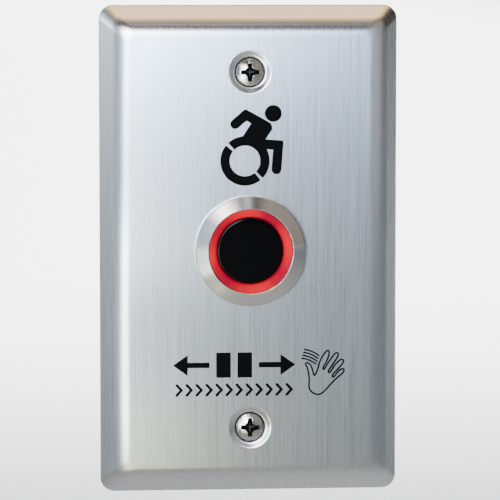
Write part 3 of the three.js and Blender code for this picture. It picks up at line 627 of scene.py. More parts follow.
def cross_cutter(reach, wing, depth, top, centre, toward=1):
    """A cross recess to cut with. toward is 1 where it deepens along +Y, else -1."""
    arm = [(reach, -wing * 0.92), (reach, wing * 0.92)]
    arm += [(wing * 2.3, wing * 1.1), (wing * 1.6, wing * 1.6), (wing * 1.1, wing * 2.3)]
    quarters = ((1, 0), (0, 1), (-1, 0), (0, -1))
    outline = [(x * c - z * s, x * s + z * c) for c, s in quarters for x, z in arm]
    above = -0.6 / depth
    rings = []
    for level, share in ((above, 1.06), (0.3, 0.98), (0.75, 0.72), (0.92, 0.45), (1, 0.2)):
        y = top + toward * depth * level
        rings.append([(centre.x + x * share, y, centre.z + z * share) for x, z in outline])
    return skin("recess", rings, outline)


def plate_screw(node, z):
    low, high = corners(node)
    centre = Vector((0, 0, z))
    head, shank = SCREW_HEAD, 1.75
    edge = low.y + SCREW_DOME
    radii = [head * 0.955 * k / 12 for k in range(13)]
    cap = [(r, low.y + SCREW_SPHERE - sqrt(SCREW_SPHERE ** 2 - r ** 2)) for r in radii]
    cone_end = edge + 0.15 + (head - shank) / COUNTERSINK
    rim = [(head - 0.05, edge - 0.02), (head, edge + 0.1), (head - 0.06, edge + 0.2)]
    body = cap + rim + [(shank, cone_end)] + thread(shank, 1.36, cone_end + 0.5, high.y - 1.5, 0.794)
    body += [(1.6, high.y - 0.5), (1.25, high.y), (0, high.y)]
    screw = carved(turned(node + "_fine", body, centre), cross_cutter(2.15, 0.5, 2.3, low.y, centre))
    return bevelled(screw, 0.05, 2, 40)


# ---- the sensor head


def sensor_barrel():
    rear, outer = BARREL_HIGH.y, BARREL_HIGH.x
    body = [(9.75, FACE + 0.5), (9.75, CREST + 0.34), (9.78, CREST + 0.28), (10.0, CREST + 0.03)]
    body += [(10.06, CREST), (10.14, CREST + 0.03), (outer - 0.26, FACE - 1.39), (outer - 0.1, FACE - 1.31)]
    body += [(outer - 0.02, FACE - 1.2), (outer, FACE - 1.1), (outer, FACE - 0.04), (outer - 0.04, FACE)]
    body += [(12.3, FACE), (12.3, FACE - 0.5), (11.2, FACE - 0.5), (11.2, FACE), (10.9, FACE)]
    body += thread(10.9, 10.35, PLATE_BACK + 0.6, rear - 1.4, 1.0)
    body += [(10.9, rear - 0.4), (10.5, rear), (9.2, rear), (9.2, FACE + 0.5)]
    return turned("sensor_bezel", body, facets=160, smooth_angle=30)


def light_ring():
    low, high = corners("light_ring")
    inner, hidden, outer = 7.85, 8.55, high.x
    window = corners("ir_window")[0].y
    body = [(outer, low.y + 0.1), (outer - 0.1, low.y + 0.02), (inner + 0.25, window - 0.2)]
    body += [(inner, window + 0.05), (inner, high.y), (hidden, high.y)]
    body += [(hidden, FACE - 0.6), (outer, FACE - 0.6)]
    return turned("light_guide", filleted(body, [0.03, 0.12, 0.15, 0.05, 0, 0, 0, 0]), facets=128)


def ir_window():
    low, high = corners("ir_window")
    radius, inner = high.x, high.x - 0.85
    body = [((radius - 0.45) * share, low.y + 0.12 * share ** 2) for share in (k / 8 for k in range(9))]
    body += [(radius - 0.2, low.y + 0.17), (radius - 0.05, low.y + 0.28), (radius, low.y + 0.45)]
    body += [(radius, high.y), (inner, high.y), (inner, low.y + 1.4), (0, low.y + 1.4)]
    return turned("ir_window_lens", body, facets=128)


# ---- printed graphics

INK_BACK = FACE + 0.005
INK_FRONT = FACE - 0.03


def arc_points(centre, radius, start, end, steps):
    """Points on an arc. Angles are in degrees, clockwise from the top."""
    angles = [radians(start + (end - start) * k / steps) for k in range(steps + 1)]
    return [(centre[0] + radius * sin(a), centre[1] + radius * cos(a)) for a in angles]


def band(centre, inner, outer, start, end, steps=48):
    """A stretch of a flat ring, with its ends cut square."""
    return arc_points(centre, outer, start, end, steps) + arc_points(centre, inner, start, end, steps)[::-1]


def disc(centre, radius, steps=48):
    return arc_points(centre, radius, 0, 360 - 360 / steps, steps - 1)


def rectangle(low_x, high_x, low_z, high_z):
    return [(low_x, low_z), (high_x, low_z), (high_x, high_z), (low_x, high_z)]


def stroke_outline(points, width, cap=8):
    """The outline of an open line drawn with a round pen."""
    path = [Vector(p) for p in points]
    ways = [(b - a).normalized() for a, b in zip(path, path[1:])]
    half, left, right = width / 2, [], []
    for p, behind, ahead in zip(path, ways[:1] + ways, ways + ways[-1:]):
        along = (ahead + behind).normalized()
        across = Vector((-along.y, along.x)) * half / max(0.5, along.dot(ahead))
        left.append(p + across)
        right.append(p - across)

    def round_end(centre, way):
        first = atan2(way.y, way.x) + TURN / 4
        angles = [first - TURN / 2 * k / cap for k in range(1, cap)]
        return [centre + Vector((cos(a), sin(a))) * half for a in angles]

    outline = left + round_end(path[-1], ways[-1]) + right[::-1] + round_end(path[0], -ways[0])
    return [tuple(p) for p in outline]


def ink_solid(name, outline, extra=0.0):
    """A flat shape of ink on the plate, made thicker by extra on both sides."""
    return prism(name, outline, INK_FRONT - extra, INK_BACK + extra)


def print_ink(piece):
    finish_piece(piece, black_ink, "black_plastic")


def bent_limb(points, pen):
    """A line with one bend, whose outer corner is rounded."""
    outline = stroke_outline(points, pen)
    return filleted(outline, [0.6 if i == 1 else 0 for i in range(len(outline))])


def person_pictogram():
    """A seated person leaning forward, who pushes a wheel."""
    pen, wheel, inner, outer = 2.3, (-1.2, 21.0), 3.58, 5.77
    print_ink(ink_solid("mark_head", disc((5.4, 32.05), 1.98)))
    print_ink(ink_solid("mark_wheel_lower", band(wheel, inner, outer, 141, 309)))
    torso = [(0.8, 30.6), (-1.9, 26.5), (-1.0, 25.0), (3.0, 25.1), (3.4, 25.7), (5.15, 28.3), (5.0, 29.3)]
    arm = bent_limb([(-3.5, 29.6), (-1.0, 31.75), (4.0, 28.95)], pen)
    leg = bent_limb([(1.4, 25.0), (6.6, 24.65), (6.15, 19.0)], pen)
    person = ink_solid("mark_person", band(wheel, inner, outer, -43, 134))
    others = [ink_solid("limb", outline, 0.001 * (i + 1)) for i, outline in enumerate((torso, arm, leg))]
    print_ink(carved(person, *others, operation="UNION"))


def smooth_loop(points, steps=6):
    """A closed curve that passes smoothly through each point."""
    count, curve = len(points), []
    for i in range(count):
        p0, p1, p2, p3 = (Vector(points[(i + k - 1) % count]) for k in range(4))
        for k in range(steps):
            t = k / steps
            square, cube = 2 * p0 - 5 * p1 + 4 * p2 - p3, 3 * p1 - p0 - 3 * p2 + p3
            curve.append(p1 + ((p2 - p0) * t + square * t ** 2 + cube * t ** 3) / 2)
    return curve


def pen_loop(name, curve, width):
    """A closed curve drawn with a pen of the given width."""
    count, outer, inner = len(curve), [], []
    for i, p in enumerate(curve):
        along = (curve[(i + 1) % count] - curve[i - 1]).normalized()
        across = Vector((-along.y, along.x)) * width / 2
        outer.append(p + across)
        inner.append(p - across)
    return ring_prism(name, outer, inner, INK_FRONT, INK_BACK)


def hand_outline():
    """A spread hand."""
    thumb = [(13.05, -26.8), (13.2, -26.5), (13.75, -26.6), (14.25, -27.1), (14.7, -28.3), (15.05, -29.45)]
    index = [(15.4, -29.15), (15.9, -28), (16.45, -26.15), (17.15, -24.8), (17.95, -23.8), (18.4, -23.65)]
    index += [(18.6, -24.1), (18.4, -25.15), (17.8, -26.55), (17.25, -27.55), (17.15, -28.05)]
    long = [(17.55, -27.9), (18.45, -26.4), (19.5, -24.9), (20.25, -24.2), (20.7, -24.4)]
    long += [(20.6, -25.05), (19.65, -26.65), (18.65, -28.05), (18.4, -28.6), (18.65, -28.85)]
    ring = [(19.05, -28.45), (19.95, -27.1), (20.95, -26.05), (21.6, -25.8), (22, -26.15)]
    ring += [(21.5, -27.05), (20.35, -28.35), (19.45, -29.35), (19.4, -29.8), (19.7, -29.9)]
    little = [(20.1, -29.4), (20.9, -28.45), (21.65, -28), (22.1, -28.2), (21.95, -28.8), (21.25, -29.45)]
    palm = [(20.4, -30.15), (19.15, -31.4), (17.85, -32.85), (16.8, -33.75), (15.9, -34), (14.85, -33.65)]
    palm += [(14.1, -32.9), (13.85, -31.9), (13.9, -30.15), (13.65, -28.5), (13.35, -27.4)]
    return thumb + index + long + ring + little + palm


def hand_pictogram():
    """The outline of a hand, with four arcs for its movement."""
    pen = 0.37
    print_ink(pen_loop("mark_hand", smooth_loop(hand_outline()), pen))
    for i in range(4):
        line = arc_points((11.69 - 0.21 * i, -30.46 - 0.68 * i), 7.2, 9, 38, 10)
        print_ink(ink_solid(f"mark_motion_{i + 1}", stroke_outline(line, pen)))


def door_symbols():
    """Two door leaves that slide apart, and a row of chevrons that point to the hand."""
    centre_x, centre_z, half = -3.75, -26.85, 2.95
    for side, word in ((-1, "left"), (1, "right")):
        near, far, tail, neck, tip = (centre_x + side * reach for reach in (0.8, 4.2, 5.8, 10.9, 14.35))
        print_ink(ink_solid(f"mark_leaf_{word}", rectangle(near, far, centre_z - half, centre_z + half)))
        upper = [(tail, 0.62), (neck, 0.62), (neck, 2.45)]
        arrow = upper + [(tip, 0)] + [(x, -z) for x, z in upper[::-1]]
        print_ink(ink_solid(f"mark_arrow_{word}", [(x, centre_z + z) for x, z in arrow]))
    count, pitch = 12, 2.35
    for i in range(count):
        x = centre_x + (i - (count - 1) / 2) * pitch
        line = [(x - 0.55, -31.5), (x + 0.55, -32.7), (x - 0.55, -33.9)]
        print_ink(ink_solid(f"mark_chevron_{i + 1}", stroke_outline(line, 0.62)))


# ---- the plate's back and the sensor's barrel


def lock_nut():
    """The hexagon nut, with its corners turned off at 30 degrees on both faces."""
    low, high = corners("lock_nut")
    flat, corner = high.z - 0.15, high.x + 0.1
    fall = (high.x - flat) * tan(radians(30))
    cone = [(0, low.y), (flat, low.y), (corner, low.y + fall)]
    cone += [(corner, high.y - fall), (flat, high.y), (0, high.y)]
    nut = carved(refined("lock_nut", 0), turned("cone", cone), operation="INTERSECT")
    return bevelled(nut, 0.12, 2, 25)


def rear_plug():
    low, high = corners("barrel_rear_plug")
    lip, thickness, hole = high.x, 1.4, 2.6
    seat = high.y - thickness
    body = [(hole, seat - thickness), (8.0, seat - thickness), (8.0, low.y), (9.1, low.y), (9.1, seat)]
    body += [(lip, seat), (lip, high.y), (6.4, high.y), (6.1, high.y - 0.35), (4.4, high.y - 0.35)]
    body += [(4.1, high.y), (hole, high.y)]
    return turned("rear_plug", filleted(body, 0.18, 3))


def grommet():
    low, high, centre = limits("cable_grommet")
    hole, neck, flange, groove = 1.7, 2.5, high.x, 1.5
    front, back = centre.y - groove, centre.y + groove
    body = [(hole, low.y), (flange, low.y), (flange, front), (neck, front)]
    body += [(neck, back), (flange, back), (flange - 0.3, high.y), (hole, high.y)]
    return turned("grommet_fine", filleted(body, 0.16), facets=64)


def cable_route():
    """The lead's centre line: straight out of the barrel, over in a bow and into its plug."""
    start = corners("sensor_cable")[0].y
    leave = BOARD_BACK + 4
    plug_top, over = corners("sensor_plug")[1].y, middle("sensor_plug").z
    arrive = plug_top + 0.8
    bow = [Vector((0, *p)) for p in ((leave, 0), (leave + 11, 0), (arrive + 7, over), (arrive, over))]
    route = [Vector((0, start + (leave - start) * k / 10, 0)) for k in range(10)]
    steps = 56
    for k in range(steps + 1):
        t = k / steps
        weights = ((1 - t) ** 3, 3 * t * (1 - t) ** 2, 3 * t * t * (1 - t), t ** 3)
        route.append(sum((p * w for p, w in zip(bow, weights)), Vector()))
    return route + [Vector((0, plug_top, over))]


def sensor_cable(radius=1.6, sides=28):
    """A round tube along its route in the plane x = 0."""
    angles = [TURN * k / sides for k in range(sides)]
    section = [(radius * cos(a), radius * sin(a)) for a in angles]
    route, rings = cable_route(), []
    for i, point in enumerate(route):
        along = (route[min(i + 1, len(route) - 1)] - route[max(i - 1, 0)]).normalized()
        up = Vector((0, -along.z, along.y))
        rings.append([point + Vector((across, 0, 0)) + up * rise for across, rise in section])
    return skin("cable_fine", rings, section)


# ---- the control board

COPPER = (BOARD_BACK - 0.01, BOARD_BACK + 0.035)
LEGEND = (BOARD_BACK - 0.01, BOARD_BACK + 0.02)


def silk_frame(node):
    """A printed outline on the board around a component."""
    low, high = corners(node)
    gap, line = 0.45, 0.18
    inner, outer = (rectangle(low.x - m, high.x + m, low.z - m, high.z + m) for m in (gap, gap + line))
    return ring_prism("silk", outer, inner, *LEGEND)


def plated_ring(centre, inner, outer, steps):
    return ring_prism("ring", disc(centre, outer, steps), disc(centre, inner, steps), *COPPER)


def trace(points, width):
    """A copper track under the solder mask."""
    return prism("track", stroke_outline(points, width, 6), *COPPER)


def power_tracks():
    """From three of the terminals to the relay, between the connector and the rectifier."""
    top, foot = corners("terminal_block")[1].z, corners("relay_case")[0].z
    lane, pitch, clear = 6.9, 0.9, -9.3
    for i, end in enumerate((8.0, 11.75, 15.0)):
        x, over, way = middle(f"terminal_screw_{i + 3}").x, top + 3.7 - pitch * i, lane + pitch * i
        turn = clear + 1.2 * (2 - i)
        route = [(x, top - 0.6), (x, over), (way, over), (way, turn), (end, turn + abs(end - way))]
        yield trace(route + [(end, foot + 0.6)], 0.6)


def supply_tracks():
    """From two of the terminals to the capacitor."""
    top, end = corners("terminal_block")[1].z, corners("filter_capacitor")[0].z + 0.6
    for i in range(2):
        x, over, way = middle(f"terminal_screw_{i + 1}").x, top + 2.1 + 0.9 * i, -16.7 + 2.4 * i
        yield trace([(x, top - 0.6), (x, over), (way, over), (way, end)], 0.8)


def signal_tracks():
    """To the controller, from the connector, the option switches and the adjusters."""
    width, lead_pitch = 0.3, 1.27
    chip_low, chip_high = corners("microcontroller")
    edge, plug = chip_high.x - 0.2, corners("sensor_header")[0]
    for i in range(4):
        z, x, end = chip_low.z + 1.2 + lead_pitch * i, plug.x - 1.2 - 0.6 * (3 - i), plug.z + 1.2 + 0.9 * i
        yield trace([(edge, z), (x, z), (x, end), (plug.x + 0.4, end)], width)
    switch_low, switch_high, switch = limits("option_switch_body")
    for i in range(3):
        x = switch.x - lead_pitch * (i - 1)
        yield trace([(x, switch_low.z + 0.4), (x, chip_high.z - 0.4)], width)
    for i, word in enumerate(("range", "delay")):
        low, _, centre = limits(word + "_trimmer_body")
        start, over, way = centre.x + 1.5, low.z - 1.2 - 0.8 * i, switch_high.x + 1.2 + 0.7 * i
        end = chip_high.z - 1.5 - lead_pitch * i
        yield trace([(start, low.z + 0.5), (start, over), (way, over), (way, end), (edge, end)], width)


def board_plating():
    """Vias beside the controller and below the relay, and the rims of the four screw holes."""
    relay, screw = corners("relay_case")[0], middle("board_screw_1")
    vias = [(-6 + 1.9 * (i % 3), 2.2 - 3.1 * (i // 3)) for i in range(6)]
    vias += [(relay.x + 2.4 + 3.2 * i, relay.z - 1.6) for i in range(4)]
    rims = [(sx * screw.x, sz * screw.z) for sx in (-1, 1) for sz in (-1, 1)]
    holes = [(via, 0.2, 0.45, 20) for via in vias] + [(rim, 2.25, 2.75, 48) for rim in rims]
    return [plated_ring(*hole) for hole in holes]


def board_screw(node):
    """A pan head with a cross recess, and a threaded shank."""
    low, high, centre = limits(node)
    head, shank, rim, seat = 2.2, 1.1, 0.75, BOARD_BACK
    angles = [TURN / 4 * k / 8 for k in range(9)]
    body = [(head * sin(a), seat + rim + (high.y - seat - rim) * cos(a)) for a in angles]
    body += [(head, seat), (shank, seat)] + thread(shank, 0.85, low.y + 1.3, seat - 0.3, 0.6)[::-1]
    body += [(shank, low.y + 1.2), (0.3, low.y), (0, low.y)]
    screw = turned(node + "_fine", body, centre, 48)
    return carved(screw, cross_cutter(1.25, 0.28, 1.15, high.y, centre, -1))


# ---- connector, terminals and adjusters


def plug_housing():
    """The plug, with a grip step and a window over each crimped contact."""
    low, high, centre = limits("sensor_plug")
    piece = box_piece("plug_housing", (low.x, high.x), (low.y, high.y), (low.z, high.z), 0.18, 3)
    tools = []
    for x in (centre.x + (i - 2) * 2.0 for i in range(5)):
        for z in ((high.z - 0.35, high.z + 1), (low.z - 1, low.z + 0.35)):
            tools.append(box_piece("window", (x - 0.5, x + 0.5), (high.y - 2.4, high.y - 1.0), z))
    for x in ((low.x - 1, low.x + 0.3), (high.x - 0.3, high.x + 1)):
        tools.append(box_piece("step", x, (high.y - 2.6, high.y + 1), (low.z - 1, high.z + 1)))
    return carved(piece, *tools)


def terminal_screw(node):
    low, high, centre = limits(node)
    shank, head, seat = 1.25, 1.9, low.y + 3.9
    body = [(0, low.y), (shank - 0.25, low.y)] + thread(shank, 1.02, low.y + 0.2, seat - 0.1, 0.45)
    body += [(shank, seat), (head - 0.08, seat), (head, seat + 0.08), (head, high.y - 0.25)]
    body += [(head - 0.06, high.y - 0.1), (head - 0.2, high.y), (0, high.y)]
    slot = ((centre.x - 3, centre.x + 3), (high.y - 0.8, high.y + 1), (centre.z - 0.3, centre.z + 0.3))
    return carved(turned(node + "_fine", body, centre, 48), box_piece("slot", *slot))


def trimmer_rotor(node):
    low, high, centre = limits(node)
    radius = high.x - centre.x
    edge = [(0, low.y), (radius, low.y), (radius, high.y), (0, high.y)]
    rotor = turned(node + "_fine", filleted(edge, [0, 0.1, 0.22, 0]), centre, 72)
    arrow = [(-0.3, -1.6), (0.3, -1.6), (0.3, 0.5), (0.85, 0.42), (0, 1.7), (-0.85, 0.42), (-0.3, 0.5)]
    return carved(rotor, prism("arrow", moved(arrow, centre), high.y - 0.7, high.y + 1))


def trimmer_body(node):
    """The adjuster's case, with its well and a scale of fine cuts around it."""
    _, high, centre = limits(node)
    marks = []
    for k in range(7):
        angle = radians(-135 + 45 * k)
        line = moved([(r * sin(angle), r * cos(angle)) for r in (2.55, 2.95)], centre)
        marks.append(prism("mark", stroke_outline(line, 0.16, 4), high.y - 0.12, high.y + 1))
    return carved(refined(node, 0.22, 3), *marks)


def option_slider(node):
    low, high, centre = limits(node)
    piece = box_piece(node + "_fine", (low.x, high.x), (low.y, high.y), (low.z, high.z), 0.12, 3)
    grooves = [
        box_piece("groove", (x - 0.09, x + 0.09), (high.y - 0.22, high.y + 1), (low.z - 1, high.z + 1))
        for x in (centre.x - 0.35, centre.x, centre.x + 0.35)
    ]
    return carved(piece, *grooves)


# ---- relay, chips and capacitor


def relay_cover():
    """The relay's cover, with a shallow panel in its top and a vent."""
    _, high, centre = limits("relay_case")
    margin, over = 1.5, high.y + 1
    panel = rounded_outline(high.x - centre.x - margin, high.z - centre.z - margin, 0.8, 5)
    panel = prism("panel", moved(panel, centre), high.y - 0.15, over)
    vent = cylinder("vent", 0.5, high.y - 0.6, over, high - Vector((3, 0, 3)), 24)
    return carved(refined("relay_case", 0.45, 4, "relay_cover"), panel, vent)


def gull_wing(root, toe, height, thickness=0.16):
    """A lead's (out, y) outline: from root out of the body, down and flat to toe."""
    way, reach = (1 if toe > root else -1), abs(toe - root)
    top, pad = BOARD_BACK + height, BOARD_BACK + 0.03
    line = [(0, top), (reach * 0.3, top), (reach * 0.52, pad), (reach, pad)]
    upper = [(x + thickness * 0.6 * (i in (1, 2)), y + thickness) for i, (x, y) in enumerate(line)]
    return [(root + way * out, y) for out, y in line + upper[::-1]]


def bent_leads(name, outline, spans, out_along_z=False):
    """Flat leads of one outline, one for each span, that stick out along X or Z."""
    leads = []
    for span in spans:
        rings = [[(s, y, out) if out_along_z else (out, y, s) for out, y in outline] for s in span]
        leads.append(skin("lead", rings, outline))
    return merged(name, leads)


def microcontroller():
    low, high, centre = limits("microcontroller")
    half, pitch = 1.95, 1.27
    x = (centre.x - half, centre.x + half)
    body = box_piece("controller_body", x, (low.y + 0.15, high.y), (low.z, high.z), 0.22)
    spot = Vector((x[0] + 0.8, 0, high.z - 0.9))
    dimple = cylinder("dimple", 0.42, high.y - 0.1, high.y + 1, spot, 28)
    spans = [(z - 0.2, z + 0.2) for z in (centre.z + (i - 3) * pitch for i in range(7))]
    leads = [
        bent_leads("controller_leads_" + word, gull_wing(root, toe, 0.75), spans)
        for word, root, toe in (("left", x[0] + 0.1, low.x), ("right", x[1] - 0.1, high.x))
    ]
    return carved(body, dimple), leads


def bridge_rectifier():
    low, high, centre = limits("bridge_rectifier")
    z = (centre.z - 3.2, centre.z + 3.2)
    body = box_piece("rectifier_body", (low.x, high.x), (low.y + 0.4, high.y), z, 0.35, 3)
    chamfer = [(high.x + 1, z[1] - 1.3), (high.x + 1, z[1] + 1), (high.x - 1.3, z[1] + 1)]
    leads = []
    for x in (centre.x - 2.55, centre.x + 2.55):
        for root, toe in ((z[0] + 0.1, low.z), (z[1] - 0.1, high.z)):
            name, outline = f"rectifier_lead_{len(leads) + 1}", gull_wing(root, toe, 1.2, 0.25)
            leads.append(bent_leads(name, outline, [(x - 0.5, x + 0.5)], True))
    return carved(body, prism("corner", chamfer, low.y, high.y + 1)), leads


def capacitor():
    """The sleeve, curled in over the can, and the can's scored end."""
    low, high, centre = limits("filter_capacitor")
    radius, foot, top = high.x - centre.x, low.y, high.y
    groove, end = radius - 0.3, radius - 0.8
    sleeve = [(0, foot), (groove, foot), (radius, foot + 0.4), (radius, foot + 1.3), (groove, foot + 1.8)]
    sleeve += [(radius, foot + 2.3), (radius, top - 0.35), (radius - 0.12, top - 0.1), (radius - 0.35, top)]
    sleeve += [(radius - 0.75, top), (end, top - 0.12), (0, top - 0.12)]
    sizes = [0, 0.1, 0.2, 0.3, 0.35, 0.3, 0.15, 0.08, 0.08, 0.03, 0, 0]
    cover = turned("capacitor_sleeve", filleted(sleeve, sizes), centre)
    can = cylinder("capacitor_can", end, top - 0.3, top - 0.03, centre, 72)
    scores = []
    for angle in (radians(45), radians(135)):
        line = moved([(r * cos(angle), r * sin(angle)) for r in (-2.3, 2.3)], centre)
        scores.append(prism("score", stroke_outline(line, 0.16, 4), top - 0.1, top + 1))
    return cover, carved(can, *scores)


# ---- making the front

black_ink = ink()
screw_metal = plated_screw()
finish_piece(face_plate(), brushed_plate(), "brushed_plate", "face_plate")
for end, z in (("top", SCREW_Z), ("bottom", -SCREW_Z)):
    node = "plate_screw_" + end
    finish_piece(plate_screw(node, z), screw_metal, "screw_steel", node)
finish_piece(sensor_barrel(), turned_steel(), "turned_steel", "sensor_barrel")
finish_piece(light_ring(), lit_ring(), "lit_ring", "light_ring")
finish_piece(ir_window(), gloss_window(), "window_plastic", "ir_window")
person_pictogram()
hand_pictogram()
door_symbols()

# ---- making what is behind the plate


def dress(finish, *nodes):
    """Gives a finish to CAD nodes that stay. Their slot is the record's own."""
    for node in nodes:
        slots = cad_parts[node].data.materials
        if slots:
            slots[0] = finish.material
        else:
            slots.append(finish.material)


foam = closed_foam()
rubber = plastic("moulded_rubber", (0.016, 0.016, 0.018), 0.62, 2600, 0.35)
moulded_black = plastic("moulded_black", (0.026, 0.026, 0.029), 0.5, 2800, 0.4)
nickel = machined("nickel_plate", (0.69, 0.66, 0.58), 0.24, 5200, (1.0, 0.96, 0.86))
zinc = machined("zinc_plate", (0.62, 0.63, 0.62), 0.3, 4200)
tin = machined("bright_tin", (0.74, 0.75, 0.77), 0.2, 3600)
mask = solder_mask("solder_mask", (0.008, 0.085, 0.035), (0.02, 0.15, 0.07))
covered_copper = solder_mask("covered_copper", (0.02, 0.17, 0.06), (0.045, 0.26, 0.11))
legend_ink = plastic("legend_ink", (0.72, 0.73, 0.7), 0.6, 5200, 0.2, 1.05)
nylon = plastic("white_nylon", (0.62, 0.6, 0.53), 0.42, 2600, 0.3, 1.12)
green_polyamide = plastic("green_polyamide", (0.03, 0.2, 0.075), 0.45, 2400, 0.35)
blue_moulding = plastic("blue_moulding", (0.03, 0.12, 0.42), 0.42, 2800, 0.3)
red_moulding = plastic("red_moulding", (0.4, 0.018, 0.018), 0.42, 2800, 0.3)
relay_blue = plastic("relay_blue", (0.02, 0.075, 0.3), 0.3, 1900, 0.3, Coat_Weight=0.2, Coat_Roughness=0.2)
epoxy = plastic("moulded_epoxy", (0.014, 0.014, 0.015), 0.55, 5200, 0.5)
white_package = plastic("white_package", (0.75, 0.73, 0.66), 0.4, 4200, 0.2, 1.05)

dress(mask, "control_board", "sensor_board")
dress(rubber, "window_seal")
dress(foam, "optical_baffle")
dress(cast_lens("pale_lens", (0.6, 0.7, 0.85), 0.85), "ir_emitter")
dress(cast_lens("dark_lens", (0.02, 0.015, 0.02), 0.0), "ir_receiver")
dress(white_package, *(f"ring_led_{i + 1}" for i in range(4)))
dress(zinc, "relay_yoke", "relay_armature")
dress(enamelled_winding(), "relay_coil")
dress(tin, "relay_moving_contact", "relay_open_contact", "relay_closed_contact")
dress(moulded_black, "relay_base")

for node, edge, finish, slot in (
    ("wall_gasket", 0.3, foam, "gasket_foam"),
    ("flange_seal", 0.1, rubber, "seal_rubber"),
    ("lock_washer", 0.1, zinc, "screw_steel"),
    ("board_carrier", 0.3, moulded_black, "black_plastic"),
    ("sensor_header", 0.16, nylon, "white_nylon"),
    ("terminal_block", 0.18, green_polyamide, "terminal_plastic"),
    ("option_switch_body", 0.18, red_moulding, "switch_plastic"),
):
    finish_piece(refined(node, edge), finish, slot, node)

for piece, finish, slot, node in (
    (lock_nut(), nickel, "nickel_brass", "lock_nut"),
    (rear_plug(), moulded_black, "black_plastic", "barrel_rear_plug"),
    (grommet(), rubber, "seal_rubber", "cable_grommet"),
    (sensor_cable(), drawn_jacket(), "cable_jacket", "sensor_cable"),
    (plug_housing(), nylon, "white_nylon", "sensor_plug"),
):
    finish_piece(piece, finish, slot, node)

tracks = [*power_tracks(), *supply_tracks(), *signal_tracks()]
finish_piece(merged("board_tracks", tracks), covered_copper, "circuit_board")
finish_piece(merged("board_plating", board_plating()), tin, "tinned_metal")
outlined = ("relay_case", "microcontroller", "filter_capacitor", "bridge_rectifier", "option_switch_body")
outlined += ("range_trimmer_body", "delay_trimmer_body", "sensor_header", "terminal_block")
finish_piece(merged("board_legend", [silk_frame(node) for node in outlined]), legend_ink, "circuit_board")

for i in range(4):
    node = f"board_screw_{i + 1}"
    finish_piece(board_screw(node), zinc, "screw_steel", node)
for i in range(5):
    node = f"terminal_screw_{i + 1}"
    finish_piece(terminal_screw(node), zinc, "screw_steel", node, body=node)
    node = f"terminal_clamp_{i + 1}"
    finish_piece(refined(node, 0.14), tin, "tinned_metal", node, body=node)
for word in ("range", "delay"):
    node = word + "_trimmer_body"
    finish_piece(trimmer_body(node), blue_moulding, "trimmer_plastic", node)
    node = word + "_trimmer_rotor"
    finish_piece(trimmer_rotor(node), nylon, "white_nylon", node, body=word + "_rotor")
for i in range(3):
    node = f"option_slider_{i + 1}"
    finish_piece(option_slider(node), nylon, "white_nylon", node, body=node)

finish_piece(relay_cover(), relay_blue, "relay_plastic", "relay_case")
chip, chip_leads = microcontroller()
finish_piece(chip, epoxy, "chip_epoxy", "microcontroller")
rectifier, rectifier_leads = bridge_rectifier()
finish_piece(rectifier, epoxy, "chip_epoxy", "bridge_rectifier")
for lead in chip_leads + rectifier_leads:
    finish_piece(lead, tin, "tinned_metal")
sleeve, can = capacitor()
finish_piece(sleeve, banded_sleeve(), "capacitor_sleeve", "filter_capacitor")
finish_piece(can, tin, "tinned_metal")

# ---- floor, light and camera


def stage_floor():
    """A pale floor, well below the object."""
    reach, drop = 40000, PLATE_LOW.z - 250
    square = [(x, y, drop) for x in (-reach, reach) for y in (-reach, reach)]
    floor = new_piece("floor", square, [(0, 2, 3, 1)])
    floor.data.materials.append(Finish("floor", (0.56, 0.56, 0.56), 0.85).material)


def area_light(name, place, size, power):
    """A soft lamp aimed at the plate. power is in watts, for red, green and blue."""
    data = bpy.data.lights.new(name, "AREA")
    data.shape = "RECTANGLE"
    data.size, data.size_y = size
    data.energy = max(power)
    data.color = [p / max(power) for p in power]
    light = added(name, data)
    light.location = place
    light.rotation_euler = (-Vector(place)).to_track_quat("-Z", "Y").to_euler()
    light.visible_camera = False
    return light


def floor_light():
    """A wide lamp that shines straight down on the floor behind the object."""
    light = area_light("floor_light", (1.0, 10.6, 2.6), (3.8, 17.8), (2150,) * 3)
    light.rotation_euler = (0, 0, 0)
    light.data.spread = radians(50)


# Each glow has its direction and its colour.
WORLD_GLOWS = (
    ((-1, 0.1, 0), (4.1, 4.9, 5.5)),
    ((1, 0.1, 0), (0.1, 0.08, 0.05)),
    ((0, 0.1, 1), (0.9, 1.0, 1.2)),
    ((0, 1, 0.1), (2.4, 2.4, 2.4)),
)
GLOW_TIGHTNESS = 9


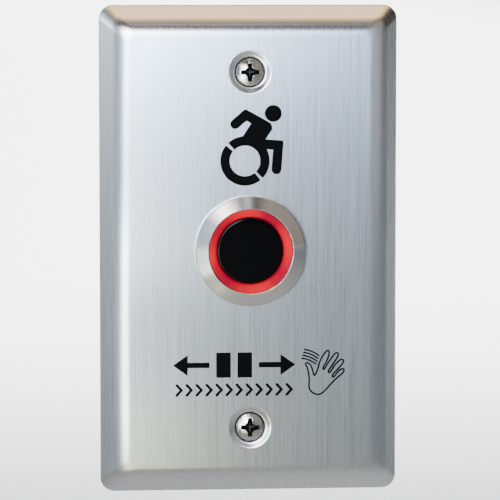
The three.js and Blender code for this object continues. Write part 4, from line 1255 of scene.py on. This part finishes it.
def studio_world():
    """A dark room, with soft light from the left, above and behind, and a little from the right."""
    world = bpy.data.worlds.new("studio")
    bpy.context.scene.world = world
    world.use_nodes = True
    sky = Shader(world.node_tree)
    where = sky.node("TexCoord").outputs["Generated"]
    total = (0, 0, 0)
    for toward, color in WORLD_GLOWS:
        inputs = {0: where, 1: Vector(toward).normalized()}
        near = sky.node("VectorMath", inputs, operation="DOT_PRODUCT").outputs["Value"]
        fall = sky.math("EXPONENT", sky.math("MULTIPLY_ADD", near, GLOW_TIGHTNESS, -GLOW_TIGHTNESS))
        glow = sky.node("VectorMath", {0: color, "Scale": fall}, operation="SCALE").outputs[0]
        total = sky.node("VectorMath", {0: total, 1: glow}, operation="ADD").outputs[0]
    sky.tree.links.new(total, sky.tree.nodes["Background"].inputs["Color"])


# Each lamp has its name, its place and its size in metres, and its power.
LAMPS = (
    ("ceiling", (0, -0.12, 0.75), (1, 0.5), (1.24, 0.74, 0.08)),
    ("ceiling_back", (0, 0.05, 0.75), (1, 0.3), (1.57, 0.72, 0.05)),
    ("upper_left", (-0.0515, -0.25, 0.081), (0.1, 0.1), (0.49, 0.65, 0.85)),
    ("near_left_high", (-0.0533, -0.12, 0.0804), (0.06, 0.06), (0.1, 0.08, 0.07)),
    ("near_left", (-0.053, -0.12, 0.011), (0.06, 0.06), (0.07, 0.08, 0.09)),
    ("near_left_side", (-0.076, -0.12, -0.035), (0.06, 0.06), (0.11, 0.12, 0.12)),
    ("near_left_low", (-0.048, -0.12, -0.081), (0.06, 0.06), (0.03, 0.03, 0.02)),
    ("upper_right", (0.32, -0.34, 0.2), (0.35, 0.5), (0.25, 0.22, 0.19)),
    ("overhead_strip", (0.008, -0.236, 0.324), (0.05, 0.07), (0.02, 0.019, 0.018)),
    ("behind", (0.5, 0.8, 0.22), (0.6, 0.6), (7, 7, 7)),
)

CAMERA_DISTANCE = 0.8
CAMERA_AZIMUTH = radians(-4.7)
CAMERA_ELEVATION = radians(5.5)


def photo_camera():
    """A long lens at the photo's angle. It takes in frame_height metres at the object."""
    sensor_width, frame_height = 36, 0.1171
    data = bpy.data.cameras.new("camera")
    data.sensor_width = sensor_width
    data.lens = sensor_width * CAMERA_DISTANCE / frame_height
    camera = added("camera", data)
    aim = Vector((0.0002, -0.0028, -0.0001))
    flat = cos(CAMERA_ELEVATION)
    way = Vector((sin(CAMERA_AZIMUTH) * flat, -cos(CAMERA_AZIMUTH) * flat, sin(CAMERA_ELEVATION)))
    camera.location = aim + way * CAMERA_DISTANCE
    camera.rotation_euler = (-way).to_track_quat("-Z", "Y").to_euler()
    bpy.context.scene.camera = camera


stage_floor()
studio_world()
for lamp in LAMPS:
    area_light(*lamp)
floor_light()
photo_camera()
